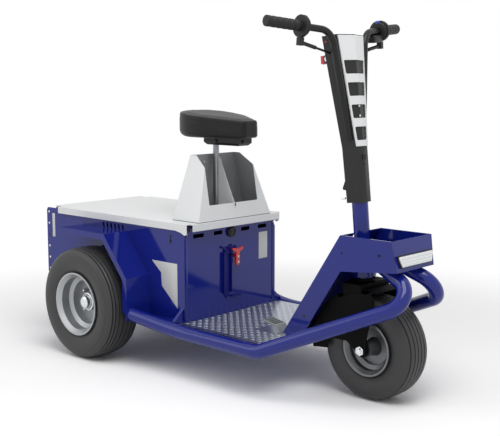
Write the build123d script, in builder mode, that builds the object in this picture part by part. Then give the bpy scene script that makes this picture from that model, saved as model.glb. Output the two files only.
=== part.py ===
# Electric tow tractor: a three-wheeled ride-on tug with a hinged deck, a seat tower and a steering console
import os
from math import acos, atan2, cos, hypot, radians, sin, tan

from build123d import *

os.makedirs("parts", exist_ok=True)

# Driving dimensions in millimetres: x runs forward, y to the left, z up, ground at 0, rear axle over x = 0

# Clearances
SEAT_GAP = 0.3
RUN_GAP = 0.5
MOVE_GAP = 5.0

# Wheels
WHEELBASE = 1063.0
REAR_TRACK = 628.0
WHEEL_GAP = 8.0
# Columns: tyre radius, tyre width, half width over the rim lips, lip radius, bead seat radius, well radius
REAR_WHEEL = {
    "tyre_r": 204.0, "tyre_w": 148.0, "half": 72.0, "lip_r": 115.5, "seat_r": 101.6, "well_r": 86.0,
}
FRONT_WHEEL = {"tyre_r": 168.0, "tyre_w": 122.0, "half": 56.0, "lip_r": 88.8, "seat_r": 76.2, "well_r": 62.0}
SHOULDER_DROP = 7.0
SHOULDER_IN = 15.0
CROWN_IN = 22.0
WALL_FLAT = 26.0
BEAD_GAP = 2.4
LIP_T = 6.0
LIP_CONE = 10.0
RIM_WALL = 4.0
WELL_HALF = 22.0
WELL_SLOPE = 8.0
DISC_T = 7.0
REAR_DISC_OUT = -12.0
REAR_HUB_R = 34.0
REAR_HUB_OUT = 26.0
REAR_CAP_R = 22.0
REAR_CAP_OUT = 18.0
STUB_R = 14.0
STUB_LENGTH = 60.0
LUG_COUNT = 4
LUG_PCD = 100.0
LUG_R = 8.0
LUG_OUT = 14.0
FRONT_HUB_R = 30.0
FRONT_HUB_END_R = 18.0
FRONT_HUB_TAPER = 21.0
FRONT_HUB_HALF = 58.0
FRONT_DISC_OUT = -4.0
FRONT_AXLE_R = 10.0
AXLE_HEAD_R = 16.0
AXLE_HEAD_T = 11.0

# Rear wheel guards of folded sheet, set from the rear tyre
GUARD_RISE = 61.0
GUARD_AHEAD = 31.0
GUARD_REAR_X = -139.0
GUARD_SLOPE = (122.0, 146.0)
GUARD_PAST_TYRE = 26.0
GUARD_FLANGE = 22.0
GUARD_CHAMFER = 14.0
GUARD_FOOT = (5.0, 12.0)
GUARD_TOP_Z = 2 * REAR_WHEEL["tyre_r"] + GUARD_RISE
GUARD_FRONT_X = REAR_WHEEL["tyre_r"] + GUARD_AHEAD
GUARD_HALF_W = REAR_TRACK / 2 + GUARD_PAST_TYRE

# Footwell floor
FLOOR_TOP_Z = 177.0
FLOOR_T = 4.0
FLOOR_BEHIND_WHEEL = 227.0
FLOOR_TAPER = (50.0, 52.0)
CROSS_BAR = (36.0, 26.0)
CROSS_BAR_IN = (49.0, 86.0)
FLOOR_FRONT_X = WHEELBASE - FLOOR_BEHIND_WHEEL

# Box of folded sheet, between the rear tyres
SHEET = 3.0
BOX_HALF_W = REAR_TRACK / 2 - REAR_WHEEL["tyre_w"] / 2 - WHEEL_GAP
BOX_FRONT_X = 421.0
BOX_REAR_X = -313.0
BOX_LOW_Z = FLOOR_TOP_Z
BOX_REAR_RISE = 46.0
BOX_REAR_LOW_Z = REAR_WHEEL["tyre_r"] + BOX_REAR_RISE
BOX_STEP = (21.0, 74.0)
CHEEK_BEHIND = 61.0
CHEEK_ROUND = 14.0
LOUVRE_COUNT = 6
LOUVRE_FIRST_X = -18.0
LOUVRE_PITCH = 22.0
LOUVRE_SIZE = (9.0, 20.0)
LOUVRE_LEAN = 12.0
LOUVRE_BELOW_LID = 19.0
# Columns: y of the middle as a side and a distance from the panel's edge, width
OUTER_SLOTS = ((-1, 67.0, 52.0), (1, 67.0, 46.0))
# Columns: y of the middle, width
INNER_SLOTS = ((-68.0, 42.0), (73.0, 44.0))
PANEL_SLOT_H = 14.0
PANEL_SLOT_DROP = 47.5
PLUG_Y = -4.0
PLUG_R = 19.0
PLUG_OUT = 9.0

# Step plate and gusset between the box wall and the frame tube
STEP_GAP = 5.0
GUSSET_RISE = 47.0
GUSSET_T = 12.0
GUSSET_BACK = 6.0
GUSSET_OUT = (46.0, 7.0)

# Deck lid, a folded tray hinged at its rear edge
LID_ABOVE_GUARD = 54.5
LID_T = 2.5
LID_SKIRT = 25.0
LID_OVER = 8.0
LID_AHEAD = 34.0
LID_BEHIND = 23.0
LID_NOTCH = (46.0, 22.0)
LID_CORNER = 16.0
# Columns: distance behind the corner, drop below the skirt
LID_TAB = ((57.0, 0.0), (30.0, 5.0), (9.0, 14.0), (0.0, 6.5))
LID_TOP_Z = GUARD_TOP_Z + LID_ABOVE_GUARD
LID_HALF_W = BOX_HALF_W + LID_OVER
LID_FRONT_X = BOX_FRONT_X + LID_AHEAD
LID_REAR_X = BOX_REAR_X - LID_BEHIND
HINGE_BEHIND = 15.0
HINGE_DROP = 19.5
HINGE_PIN_R = 5.0
LUG_EYE_R = 9.0
LUG_T = 6.0
LUG_IN = 26.0
LATCH_SIZE = (16.0, 14.0, 44.0)
HINGE_X = BOX_REAR_X - HINGE_BEHIND
HINGE_Z = LID_TOP_Z - HINGE_DROP
LUG_Y = BOX_HALF_W - LUG_IN

# Fork and front guard
FORK_LEG_T = 8.0
FORK_LEG_GAP = 9.0
FORK_CROWN_T = 14.0
FORK_CROWN_RISE = 26.0
FORK_TOP_W = 78.0
FORK_EYE_R = 22.0
GUARD_T = 3.0
GUARD_SKIRT = 62.0
GUARD_FROM = 76.0
GUARD_STEP = 120.0
GUARD_TO = 186.0
GUARD_SIDE_GAP = 3.0
CROWN_LOW_Z = 2 * FRONT_WHEEL["tyre_r"] + FORK_CROWN_RISE
CROWN_TOP_Z = CROWN_LOW_Z + FORK_CROWN_T

# Steering head over the fork: cheek plates with raking arms, tray between them
HEAD_HALF_W = 110.0
HEAD_PLATE = 5.0
HEAD_LEAN = 9.0
HEAD_CLEAR = 42.0
HEAD_H = 115.0
HEAD_NOSE_TOP = 127.0
HEAD_NOSE_LOW = (144.0, 19.0)
ARM_BEHIND_WHEEL = 301.0
ARM_W_X = 79.0
ARM_SLOPE = 56.5
TRAY_T = 3.0
LAMP_HALF_W = (93.0, 79.0)
LAMP_H = 33.0
LAMP_T = 12.0
LAMP_ROUND = 5.0
LAMP_BELOW_TOP = 65.0
HEAD_REAR_LOW_Z = CROWN_TOP_Z + HEAD_CLEAR
HEAD_TOP_Z = HEAD_REAR_LOW_Z + HEAD_H
HEAD_FRONT_TOP_X = WHEELBASE + HEAD_NOSE_TOP
HEAD_FRONT_LOW = (WHEELBASE + HEAD_NOSE_LOW[0], HEAD_REAR_LOW_Z + HEAD_NOSE_LOW[1])
ARM_FOOT_X = WHEELBASE - ARM_BEHIND_WHEEL

# Bent frame tubes; columns: x, y outwards, z of the corner points, bend radius at the corner
TUBE_R = 24.0
TUBE_OUT = BOX_HALF_W + 52.0
TUBE_START = (GUARD_FRONT_X - 35.0, GUARD_HALF_W - GUARD_FLANGE, FLOOR_TOP_Z + 19.0)
TUBE_CORNERS = (
    (BOX_FRONT_X + 19.0, TUBE_OUT, FLOOR_TOP_Z - 19.0, 600.0),
    (WHEELBASE - 257.0, TUBE_OUT, FLOOR_TOP_Z - 21.0, 90.0),
    (WHEELBASE + 223.0, HEAD_HALF_W - 26.0, HEAD_REAR_LOW_Z - 56.0, 58.0),
)
TUBE_END = (WHEELBASE - 13.0, 27.0, HEAD_REAR_LOW_Z + 49.0)

# Brake pedal
PEDAL_BEHIND = 124.0
PEDAL_Y = -92.0
PEDAL_HALF_W = 26.0
# Columns: x from the pedal's middle, z above the floor
PEDAL_LINE = ((-34.0, 30.0), (-30.0, 36.0), (26.0, 26.0), (44.0, 0.0), (34.0, 0.0), (20.0, 20.0))
PEDAL_X = FLOOR_FRONT_X - PEDAL_BEHIND

# Steering axis and column
RAKE = 5.5
COLUMN_TRAIL = 71.0
COLUMN_RISE = 88.0
COLUMN_R = 26.0
HEAD_TUBE_R = 38.0
HEAD_TUBE_DOWN = (232.0, 162.0)
COLUMN_TOP = 168.0
COLUMN_X = WHEELBASE - COLUMN_TRAIL
COLUMN_Z = HEAD_TOP_Z + COLUMN_RISE

# Console along the steering axis; columns: height, half width, back, front at the edges, front at the ridge
CONSOLE = (
    {"up": 6.0, "half": 30.0, "back": 29.0, "edge": 22.0, "ridge": 30.0},
    {"up": 181.0, "half": 32.0, "back": 33.0, "edge": 19.0, "ridge": 28.0},
    {"up": 536.0, "half": 69.0, "back": 57.0, "edge": 0.0, "ridge": 16.0},
)
PANEL_T = 4.0
PANEL_MARGIN = 3.0
WINDOW_COUNT = 4
WINDOW_FIRST = 203.0
WINDOW_PITCH = 69.8
WINDOW_H = 42.5
WINDOW_MARGIN = 6.0
WINDOW_ROUND = 4.0
# Columns: height along the axis, distance out from the casing's back
KICK_LINE = ((104.0, 0.0), (54.0, 26.0), (48.0, 26.0), (42.0, 0.0))
KICK_HALF_W = 12.0
KICK_SUNK = 1.0

# Handlebar, grips and controls; points are forward of, beside and up along the steering axis
BAR_R = 11.0
BAR_FOOT = (2.0, 34.0, 205.0)
BAR_CORNER = (-3.0, 86.0, 546.0)
BAR_END = (-52.0, 332.0, 573.0)
BAR_BEND = 55.0
GRIP_R = 17.0
GRIP_LENGTH = 142.0
GRIP_FLANGE_R = 34.0
GRIP_FLANGE_T = 13.0
GRIP_RIBS = 6
GRIP_RIB_H = 1.2
# Shares of a rib's pitch: end of the groove, start and end of the rib
RIB_SHARES = (0.25, 0.33, 0.9)
CABLE_R = 6.0
CABLE_DROP = 14.0
CABLE_BLOCK = (19.0, 18.0, 24.0)
CABLE_BACK = 30.0
SHEATH_SHARE = 0.5
WIRE_R = 3.6
KEY_UP = 466.0
KEY_R = 14.0
KEY_OUT = 18.0
KEY_TAG = (5.0, 24.0, 18.0)

# Seat, its post and the tower that carries it
TOWER_H = 226.5
TOWER_FROM_FRONT = (111.0, 23.0)
TOWER_HALF_W = 185.0
TOWER_TOP_IN = (16.0, 38.0)
TOWER_TOP_HALF_W = 111.0
TOWER_T = 2.5
TOWER_MOUTH_RISE = 55.5
TOWER_MOUTH_HALF_W = 124.0
TOWER_MOUTH_ROUND = 5.0
TOWER_CUT = (47.0, 44.0, 28.0)
TOWER_TOP_Z = LID_TOP_Z + TOWER_H
TOWER_X = (BOX_FRONT_X - TOWER_FROM_FRONT[0], BOX_FRONT_X + TOWER_FROM_FRONT[1])
TOWER_TOP_X = (TOWER_X[0] + TOWER_TOP_IN[0], TOWER_X[1] - TOWER_TOP_IN[1])
POST_IN = 35.0
POST_R = 11.0
POST_RISE = 34.0
BRACKET = (173.0, 70.0, 28.0)
BRACKET_AHEAD = 58.0
BRACKET_CHAMFER = 9.0
POST_X = TOWER_X[0] + POST_IN
POST_TOP_Z = TOWER_TOP_Z + POST_RISE
SEAT_LOW_Z = POST_TOP_Z + BRACKET[2]
SEAT_T = (96.0, 60.0)
SEAT_BEHIND_POST = 10.0
SEAT_ROUND_R = 125.0
SEAT_LENGTH = 310.0
SEAT_NOSE_HALF_W = 37.0
SEAT_NOSE_ROUND = 24.0
SEAT_EDGE = 20.0

# Tow hitch on the rear wall
HITCH_PLATE = (10.0, 200.0, 170.0)
HITCH_RISE = 80.0
JAW_HALF_W = 40.0
JAW_T = 14.0
JAW_GAP = 44.0
JAW_REACH = 70.0
TOW_PIN_R = 10.5

# Tow release lever and its channel on the front panel, heights above the box's foot
CHANNEL_Y = -29.0
CHANNEL_W = 42.0
CHANNEL_DEPTH = 12.0
CHANNEL_RISE = (53.0, 225.0)
CHANNEL_POINT = 27.0
# Columns: half width, height above the channel
CHANNEL_HEAD = ((11.0, 0.0), (11.0, 10.0), (28.0, 17.0), (28.0, 25.0), (0.0, 15.0))
FOOT_TAB = (52.0, 5.0, 10.0)
LEVER_Y = 12.0
LEVER_RISE = (175.0, 240.0)
LEVER_W = 18.0
LEVER_T = 8.0
LEVER_HEAD_W = 54.0
LEVER_OFF = 14.0

# Masses inside
BATTERY = (180.0, 29.0, 235.0)
TRANSAXLE = (190.0, 210.0, 100.0)
AXLE_TUBE_R = 28.0
SUMP_ROUND = 15.0


def tube_points(out):
    """Corner points of one side's frame tube, from the wheel guard to the tray."""
    points = [(TUBE_START[0], out * TUBE_START[1], TUBE_START[2])]
    points += [(x, out * y, z) for x, y, z, bend in TUBE_CORNERS]
    return points + [(TUBE_END[0], out * TUBE_END[1], TUBE_END[2])]


# Pieces are written about the middle of the length, from the tow jaw's lips to the hoops of the frame tubes
TUBE_BENDS = [bend for x, y, z, bend in TUBE_CORNERS]
REAR_END_X = BOX_REAR_X - HITCH_PLATE[0] - JAW_REACH - JAW_HALF_W
FRONT_END_X = FilletPolyline(*tube_points(1), radius=TUBE_BENDS).bounding_box().max.X + TUBE_R
MIDDLE_X = (REAR_END_X + FRONT_END_X) / 2


def save(name, builder):
    """Move a finished piece to the middle of the length, label it and write it."""
    piece = builder.part.moved(Location((-MIDDLE_X, 0, 0)))
    piece.label = name
    export_step(piece, f"parts/{name}.step")


def side_plane(x, out, z, y=0.0):
    """Plane across the vehicle: local x runs outwards, local y up."""
    return Plane(origin=(x, y, z), x_dir=(0, out, 0), z_dir=(out, 0, 0))


def sheet_band(points, width):
    """Outline of a folded strip: the fold line and its copy set in by the width, mitred at the folds."""
    inner = []
    for i, (x, z) in enumerate(points):
        turns = []
        for a, b in ((i - 1, i), (i, i + 1)):
            if a >= 0 and b < len(points):
                run = hypot(points[b][0] - points[a][0], points[b][1] - points[a][1])
                turns.append(((points[b][1] - points[a][1]) / run, -(points[b][0] - points[a][0]) / run))
        nx = sum(t[0] for t in turns) / len(turns)
        nz = sum(t[1] for t in turns) / len(turns)
        stretch = width / (nx * nx + nz * nz)
        inner.append((x + nx * stretch, z + nz * stretch))
    return list(points) + inner[::-1]


# Steering axis: a point at height z, and the plane square to it whose local x runs forward
RAKE_TAN = tan(radians(RAKE))
AXIS_UP = Vector(-sin(radians(RAKE)), 0, cos(radians(RAKE)))
AXIS_FWD = Vector(cos(radians(RAKE)), 0, sin(radians(RAKE)))
COLUMN_POINT = Vector(COLUMN_X, 0, COLUMN_Z)


def steer_plane(up):
    """Plane square to the steering axis, local x forward and local y to the left."""
    return Plane(origin=COLUMN_POINT + AXIS_UP * up, x_dir=AXIS_FWD, z_dir=AXIS_UP)


def console_point(fwd, y, up):
    """Point given forward of, beside and up along the steering axis."""
    return COLUMN_POINT + AXIS_FWD * fwd + AXIS_UP * up + Vector(0, y, 0)


# Tyres: rings with flat sidewalls that bulge past the rim lips, sloping shoulders and a flat tread
def make_tyre(name, x, y, out, wheel):
    half_bead = wheel["half"] - LIP_CONE - SEAT_GAP
    clear_r = wheel["lip_r"] + BEAD_GAP
    half = wheel["tyre_w"] / 2
    tread_r = wheel["tyre_r"] - SHOULDER_DROP
    wall_r = (clear_r + tread_r) / 2
    section = [
        (half_bead, wheel["seat_r"] + SEAT_GAP), (half_bead, clear_r), (half, wall_r - WALL_FLAT / 2),
        (half, wall_r + WALL_FLAT / 2), (half - SHOULDER_IN, tread_r),
        (half - SHOULDER_IN - CROWN_IN, wheel["tyre_r"]),
    ]
    section += [(-u, v) for u, v in section[::-1]]
    with BuildPart() as tyre:
        with BuildSketch(side_plane(x, out, wheel["tyre_r"], y)):
            with BuildLine():
                Polyline(*section, close=True)
            make_face()
        revolve(axis=Axis((x, y, wheel["tyre_r"]), (0, 1, 0)))
    save(name, tyre)


def rim_outline(wheel):
    """Barrel section of a pressed rim: lips, bead seats and the well between."""
    half, lip, seat, well = wheel["half"], wheel["lip_r"], wheel["seat_r"], wheel["well_r"]
    right = [
        (WELL_HALF - WELL_SLOPE, well), (WELL_HALF, seat), (half - LIP_CONE, seat),
        (half - LIP_T, lip), (half, lip), (half, lip - LIP_T), (half - LIP_CONE - RIM_WALL, seat - RIM_WALL),
        (WELL_HALF + RIM_WALL, seat - RIM_WALL), (WELL_HALF - WELL_SLOPE + RIM_WALL, well - RIM_WALL),
    ]
    outer, inner = right[:5], right[5:]
    mirrored = [(-u, v) for u, v in outer[::-1]]
    mirrored_in = [(-u, v) for u, v in inner[::-1]]
    return mirrored + outer + inner + mirrored_in


# Rear rims: deep dished, bolted to a hub whose stub runs into the axle tube
def make_rear_rim(name, out):
    wheel = REAR_WHEEL
    y = out * REAR_TRACK / 2
    spin = Axis((0, y, wheel["tyre_r"]), (0, 1, 0))
    disc_low = REAR_DISC_OUT - DISC_T
    with BuildPart() as rim:
        with BuildSketch(side_plane(0, out, wheel["tyre_r"], y)):
            with BuildLine():
                Polyline(*rim_outline(wheel), close=True)
            make_face()
            with BuildLine():
                Polyline(
                    (disc_low, 0), (REAR_DISC_OUT + REAR_HUB_OUT + REAR_CAP_OUT, 0),
                    (REAR_DISC_OUT + REAR_HUB_OUT + REAR_CAP_OUT, REAR_CAP_R),
                    (REAR_DISC_OUT + REAR_HUB_OUT, REAR_CAP_R), (REAR_DISC_OUT + REAR_HUB_OUT, REAR_HUB_R),
                    (REAR_DISC_OUT, REAR_HUB_R), (REAR_DISC_OUT, wheel["well_r"] - RIM_WALL / 2),
                    (disc_low, wheel["well_r"] - RIM_WALL / 2), close=True,
                )
            make_face()
        revolve(axis=spin)
        with BuildSketch(Plane(origin=(0, y + out * REAR_DISC_OUT, wheel["tyre_r"]), z_dir=(0, out, 0))):
            with PolarLocations(LUG_PCD / 2, LUG_COUNT, start_angle=180 / LUG_COUNT):
                RegularPolygon(LUG_R, 6)
        extrude(amount=LUG_OUT)
        with BuildSketch(Plane(origin=(0, y + out * disc_low, wheel["tyre_r"]), z_dir=(0, -out, 0))):
            Circle(STUB_R)
        extrude(amount=STUB_LENGTH)
    save(name, rim)


for side, out in (("right", -1), ("left", 1)):
    make_tyre(f"rear_tyre_{side}", 0, out * REAR_TRACK / 2, out, REAR_WHEEL)
    make_rear_rim(f"rear_rim_{side}", out)

make_tyre("front_tyre", WHEELBASE, 0, 1, FRONT_WHEEL)

# Front rim: pressed barrel on a round hub with a plain bore for the axle
with BuildPart() as front_rim:
    with BuildSketch(side_plane(WHEELBASE, 1, FRONT_WHEEL["tyre_r"])):
        with BuildLine():
            Polyline(*rim_outline(FRONT_WHEEL), close=True)
        make_face()
        with BuildLine():
            Polyline(
                (-FRONT_HUB_HALF, FRONT_AXLE_R + RUN_GAP), (FRONT_HUB_HALF, FRONT_AXLE_R + RUN_GAP),
                (FRONT_HUB_HALF, FRONT_HUB_END_R), (FRONT_DISC_OUT + FRONT_HUB_TAPER, FRONT_HUB_R),
                (FRONT_DISC_OUT + DISC_T / 2, FRONT_HUB_R + DISC_T),
                (FRONT_DISC_OUT + DISC_T / 2, FRONT_WHEEL["well_r"] - RIM_WALL / 2),
                (FRONT_DISC_OUT - DISC_T / 2, FRONT_WHEEL["well_r"] - RIM_WALL / 2),
                (FRONT_DISC_OUT - DISC_T / 2, FRONT_HUB_R), (-FRONT_HUB_HALF, FRONT_HUB_END_R), close=True,
            )
        make_face()
    revolve(axis=Axis((WHEELBASE, 0, FRONT_WHEEL["tyre_r"]), (0, 1, 0)))
save("front_rim", front_rim)

# Front axle: through bolt held by the fork's two legs
FORK_IN = FRONT_WHEEL["tyre_w"] / 2 + FORK_LEG_GAP
FORK_OUT = FORK_IN + FORK_LEG_T
with BuildPart() as front_axle:
    axle_end = (WHEELBASE, -FORK_OUT - SEAT_GAP, FRONT_WHEEL["tyre_r"])
    with BuildSketch(Plane(origin=axle_end, z_dir=(0, 1, 0))):
        Circle(FRONT_AXLE_R)
    extrude(amount=2 * (FORK_OUT + SEAT_GAP))
    for out in (-1, 1):
        head_y = out * (FORK_OUT + SEAT_GAP)
        with BuildSketch(Plane(origin=(WHEELBASE, head_y, FRONT_WHEEL["tyre_r"]), z_dir=(0, out, 0))):
            RegularPolygon(AXLE_HEAD_R, 6)
        extrude(amount=AXLE_HEAD_T)
save("front_axle", front_axle)

# Fork: two raking legs below a crown plate
CROWN_X = COLUMN_X - (CROWN_TOP_Z - COLUMN_Z) * RAKE_TAN
with BuildPart() as fork:
    with BuildSketch(Plane.XZ.offset(FORK_IN)):
        with BuildLine():
            Polyline(
                (CROWN_X - FORK_TOP_W / 2, CROWN_TOP_Z), (CROWN_X + FORK_TOP_W / 2, CROWN_TOP_Z),
                (WHEELBASE + FORK_EYE_R, FRONT_WHEEL["tyre_r"]),
                (WHEELBASE - FORK_EYE_R, FRONT_WHEEL["tyre_r"]), close=True,
            )
        make_face()
        with Locations((WHEELBASE, FRONT_WHEEL["tyre_r"])):
            Circle(FORK_EYE_R)
            Circle(FRONT_AXLE_R + SEAT_GAP, mode=Mode.SUBTRACT)
    extrude(amount=FORK_LEG_T)
    mirror(about=Plane.XZ)
    with BuildSketch(Plane.XY.offset(CROWN_LOW_Z)):
        with Locations((CROWN_X, 0)):
            Rectangle(FORK_TOP_W, 2 * FORK_IN)
    extrude(amount=FORK_CROWN_T)
save("fork", fork)

# Front guard: rolled arch under the crown, stepped out behind the legs into a wider arch with side skirts
GUARD_R = FRONT_WHEEL["tyre_r"] + FORK_CROWN_RISE - SEAT_GAP
GUARD_IN = FORK_IN - GUARD_SIDE_GAP
GUARD_OUT = FORK_OUT + SEAT_GAP + GUARD_T
WEDGE_R = 2 * GUARD_R
# Columns: first angle, last angle, inner radius, half width, width of the piece
GUARD_PIECES = (
    (GUARD_FROM, GUARD_STEP, GUARD_R - GUARD_T, GUARD_IN, 2 * GUARD_IN),
    (GUARD_STEP, GUARD_TO, GUARD_R - GUARD_T, GUARD_OUT, 2 * GUARD_OUT),
    (GUARD_STEP, GUARD_TO, GUARD_R - GUARD_SKIRT, GUARD_OUT, GUARD_T),
    (GUARD_STEP, GUARD_TO, GUARD_R - GUARD_SKIRT, GUARD_T - GUARD_OUT, GUARD_T),
)
with BuildPart() as front_guard:
    for first, last, inner_r, at, wide in GUARD_PIECES:
        angles = [radians(a) for a in (first, (first + last) / 2, last)]
        fan = [(WEDGE_R * cos(a), WEDGE_R * sin(a)) for a in angles]
        with BuildSketch(Plane.XZ.offset(-at)):
            with Locations((WHEELBASE, FRONT_WHEEL["tyre_r"])):
                Circle(GUARD_R)
                Circle(inner_r, mode=Mode.SUBTRACT)
                Polygon((0, 0), *fan, align=None, mode=Mode.INTERSECT)
        extrude(amount=wide)
save("front_guard", front_guard)

# Steering column: tube from the crown up into the console
CROWN_DOWN = (CROWN_TOP_Z + SEAT_GAP + COLUMN_R * sin(radians(RAKE)) - COLUMN_Z) / cos(radians(RAKE))
with BuildPart() as steering_column:
    with BuildSketch(steer_plane(CROWN_DOWN)):
        Circle(COLUMN_R)
    extrude(amount=COLUMN_TOP - CROWN_DOWN)
save("steering_column", steering_column)


# Console: moulded casing with a ridged front, straight over the column and flaring to the top
def console_at(up):
    """Casing's section at a height along the steering axis."""
    low, high = CONSOLE[:2] if up < CONSOLE[1]["up"] else CONSOLE[1:]
    share = (up - low["up"]) / (high["up"] - low["up"])
    return {key: low[key] + share * (high[key] - low[key]) for key in low}


BAR_PATHS = {}
for side, out in (("right", -1), ("left", 1)):
    BAR_PATHS[side] = [console_point(fwd, out * y, up) for fwd, y, up in (BAR_FOOT, BAR_CORNER, BAR_END)]
console_low, console_mid, console_high = CONSOLE
with BuildPart() as console_shell:
    for pair in ((console_low, console_mid), (console_mid, console_high)):
        for row in pair:
            with BuildSketch(steer_plane(row["up"])):
                Polygon(
                    (-row["back"], -row["half"]), (row["edge"], -row["half"]), (row["ridge"], 0),
                    (row["edge"], row["half"]), (-row["back"], row["half"]), align=None,
                )
        loft(ruled=True)
    kick = [(-console_at(up)["back"] - reach, up) for up, reach in KICK_LINE]
    kick += [(KICK_SUNK - console_at(up)["back"], up) for up in (KICK_LINE[-1][0], KICK_LINE[0][0])]
    with BuildSketch(Plane(origin=COLUMN_POINT, x_dir=AXIS_FWD, z_dir=(0, -1, 0))):
        Polygon(*kick, align=None)
    extrude(amount=KICK_HALF_W, both=True)
    with BuildSketch(steer_plane(console_low["up"])):
        Circle(COLUMN_R + SEAT_GAP)
    extrude(amount=COLUMN_TOP + SEAT_GAP - console_low["up"], mode=Mode.SUBTRACT)
    for side in BAR_PATHS:
        with BuildLine() as groove_line:
            FilletPolyline(*BAR_PATHS[side], radius=BAR_BEND)
        with BuildSketch(Plane(origin=groove_line.line @ 0, z_dir=groove_line.line % 0)):
            Circle(BAR_R + SEAT_GAP)
        sweep(path=groove_line.line, mode=Mode.SUBTRACT)
save("console_shell", console_shell)

# Handlebar: a bent tube each side, lying in the casing's edge and turning out to the grip
for side in BAR_PATHS:
    with BuildPart() as bar:
        with BuildLine() as bar_line:
            FilletPolyline(*BAR_PATHS[side], radius=BAR_BEND)
        with BuildSketch(Plane(origin=bar_line.line @ 0, z_dir=bar_line.line % 0)):
            Circle(BAR_R)
        sweep(path=bar_line.line)
    save(f"handlebar_{side}", bar)


# Console panel: a white plate folded over the casing's ridge, with four windows
def panel_half(up):
    """Half width of the panel at a height along the steering axis."""
    return console_at(up)["half"] - PANEL_MARGIN


with BuildPart() as console_panel:
    for up in (console_mid["up"] + PANEL_MARGIN, console_high["up"] - PANEL_MARGIN):
        row, half = console_at(up), panel_half(up)
        ridge = row["ridge"] + RUN_GAP
        edge = ridge - (row["ridge"] - row["edge"]) * half / row["half"]
        with BuildSketch(steer_plane(up)):
            Polygon(
                (edge, -half), (edge + PANEL_T, -half), (ridge + PANEL_T, 0), (edge + PANEL_T, half),
                (edge, half), (ridge, 0), align=None,
            )
    loft(ruled=True)
    with BuildSketch(Plane(origin=console_point(-PANEL_T, 0, 0), x_dir=(0, 1, 0), z_dir=AXIS_FWD)):
        for i in range(WINDOW_COUNT):
            low = WINDOW_FIRST + i * WINDOW_PITCH
            high = low + WINDOW_H
            low_half = panel_half(low) - WINDOW_MARGIN
            high_half = panel_half(high) - WINDOW_MARGIN
            with BuildLine():
                FilletPolyline(
                    (-low_half, low), (low_half, low), (high_half, high), (-high_half, high),
                    radius=WINDOW_ROUND, close=True,
                )
            make_face()
    extrude(amount=2 * console_low["ridge"], mode=Mode.SUBTRACT)
save("console_panel", console_panel)

# Grips: ribbed sleeves with a wide inner flange, closed at the end
for side, out in (("right", -1), ("left", 1)):
    corner, end = BAR_PATHS[side][1:]
    along = (end - corner).normalized()
    root = end - along * (GRIP_LENGTH - SHEET)
    rib_pitch = (GRIP_LENGTH - GRIP_FLANGE_T) / GRIP_RIBS
    outline = [(BAR_R + SEAT_GAP, 0), (GRIP_FLANGE_R, 0), (GRIP_FLANGE_R, GRIP_FLANGE_T)]
    for i in range(GRIP_RIBS):
        low = GRIP_FLANGE_T + i * rib_pitch
        outline += [(GRIP_R - GRIP_RIB_H, low), (GRIP_R - GRIP_RIB_H, low + rib_pitch * RIB_SHARES[0])]
        outline += [(GRIP_R, low + rib_pitch * RIB_SHARES[1]), (GRIP_R, low + rib_pitch * RIB_SHARES[2])]
    outline += [(GRIP_R - GRIP_RIB_H * 2, GRIP_LENGTH), (0, GRIP_LENGTH)]
    outline += [(0, GRIP_LENGTH - SHEET + SEAT_GAP), (BAR_R + SEAT_GAP, GRIP_LENGTH - SHEET + SEAT_GAP)]
    level = Vector(0, 0, 1).cross(along).normalized()
    with BuildPart() as grip:
        with BuildSketch(Plane(origin=root, x_dir=level, z_dir=level.cross(along))):
            with BuildLine():
                Polyline(*outline, close=True)
            make_face()
        revolve(axis=Axis(root, along))
    save(f"grip_{side}", grip)

# Throttle and brake cables: an elbow under each grip flange and a sheathed run to the casing's side
CABLE_UP = console_high["up"] - BAR_BEND
CABLE_Y = console_at(CABLE_UP)["half"] + WIRE_R + SEAT_GAP
for side, out in (("right", -1), ("left", 1)):
    corner, end = BAR_PATHS[side][1:]
    along = (end - corner).normalized()
    level = Vector(0, 0, 1).cross(along).normalized()
    down = level.cross(along)
    root = end - along * (GRIP_LENGTH - SHEET - GRIP_FLANGE_T / 2)
    hang = root + down * (GRIP_FLANGE_R + SEAT_GAP)
    elbow = hang + down * CABLE_DROP
    run = console_point(-CABLE_BACK, out * CABLE_Y, CABLE_UP) - elbow
    with BuildPart() as cable:
        with BuildSketch(Plane(origin=hang, x_dir=along, z_dir=down)):
            RectangleRounded(CABLE_BLOCK[0], CABLE_BLOCK[1], CABLE_R / 2)
        extrude(amount=CABLE_BLOCK[2])
        with BuildSketch(Plane(origin=elbow, z_dir=run)):
            Circle(CABLE_R)
        extrude(amount=run.length * SHEATH_SHARE)
        with BuildSketch(Plane(origin=elbow, z_dir=run)):
            Circle(WIRE_R)
        extrude(amount=run.length)
    save(f"control_cable_{side}", cable)

# Key switch: round barrel square to the casing's back, with a flat key tag
key_row = console_at(KEY_UP)
key_fall = (console_high["back"] - console_mid["back"]) / (console_high["up"] - console_mid["up"])
key_dir = AXIS_FWD * -1 - AXIS_UP * key_fall
key_root = console_point(-key_row["back"], -key_row["half"] / 2, KEY_UP) + key_dir.normalized() * SEAT_GAP
with BuildPart() as key_switch:
    with BuildSketch(Plane(origin=key_root, x_dir=(0, 1, 0), z_dir=key_dir)):
        Circle(KEY_R)
    extrude(amount=KEY_OUT)
    with BuildSketch(Plane(origin=key_root, x_dir=(0, 1, 0), z_dir=key_dir)):
        Rectangle(KEY_TAG[0], KEY_TAG[1])
    extrude(amount=KEY_OUT + KEY_TAG[2])
save("key_switch", key_switch)

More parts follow.
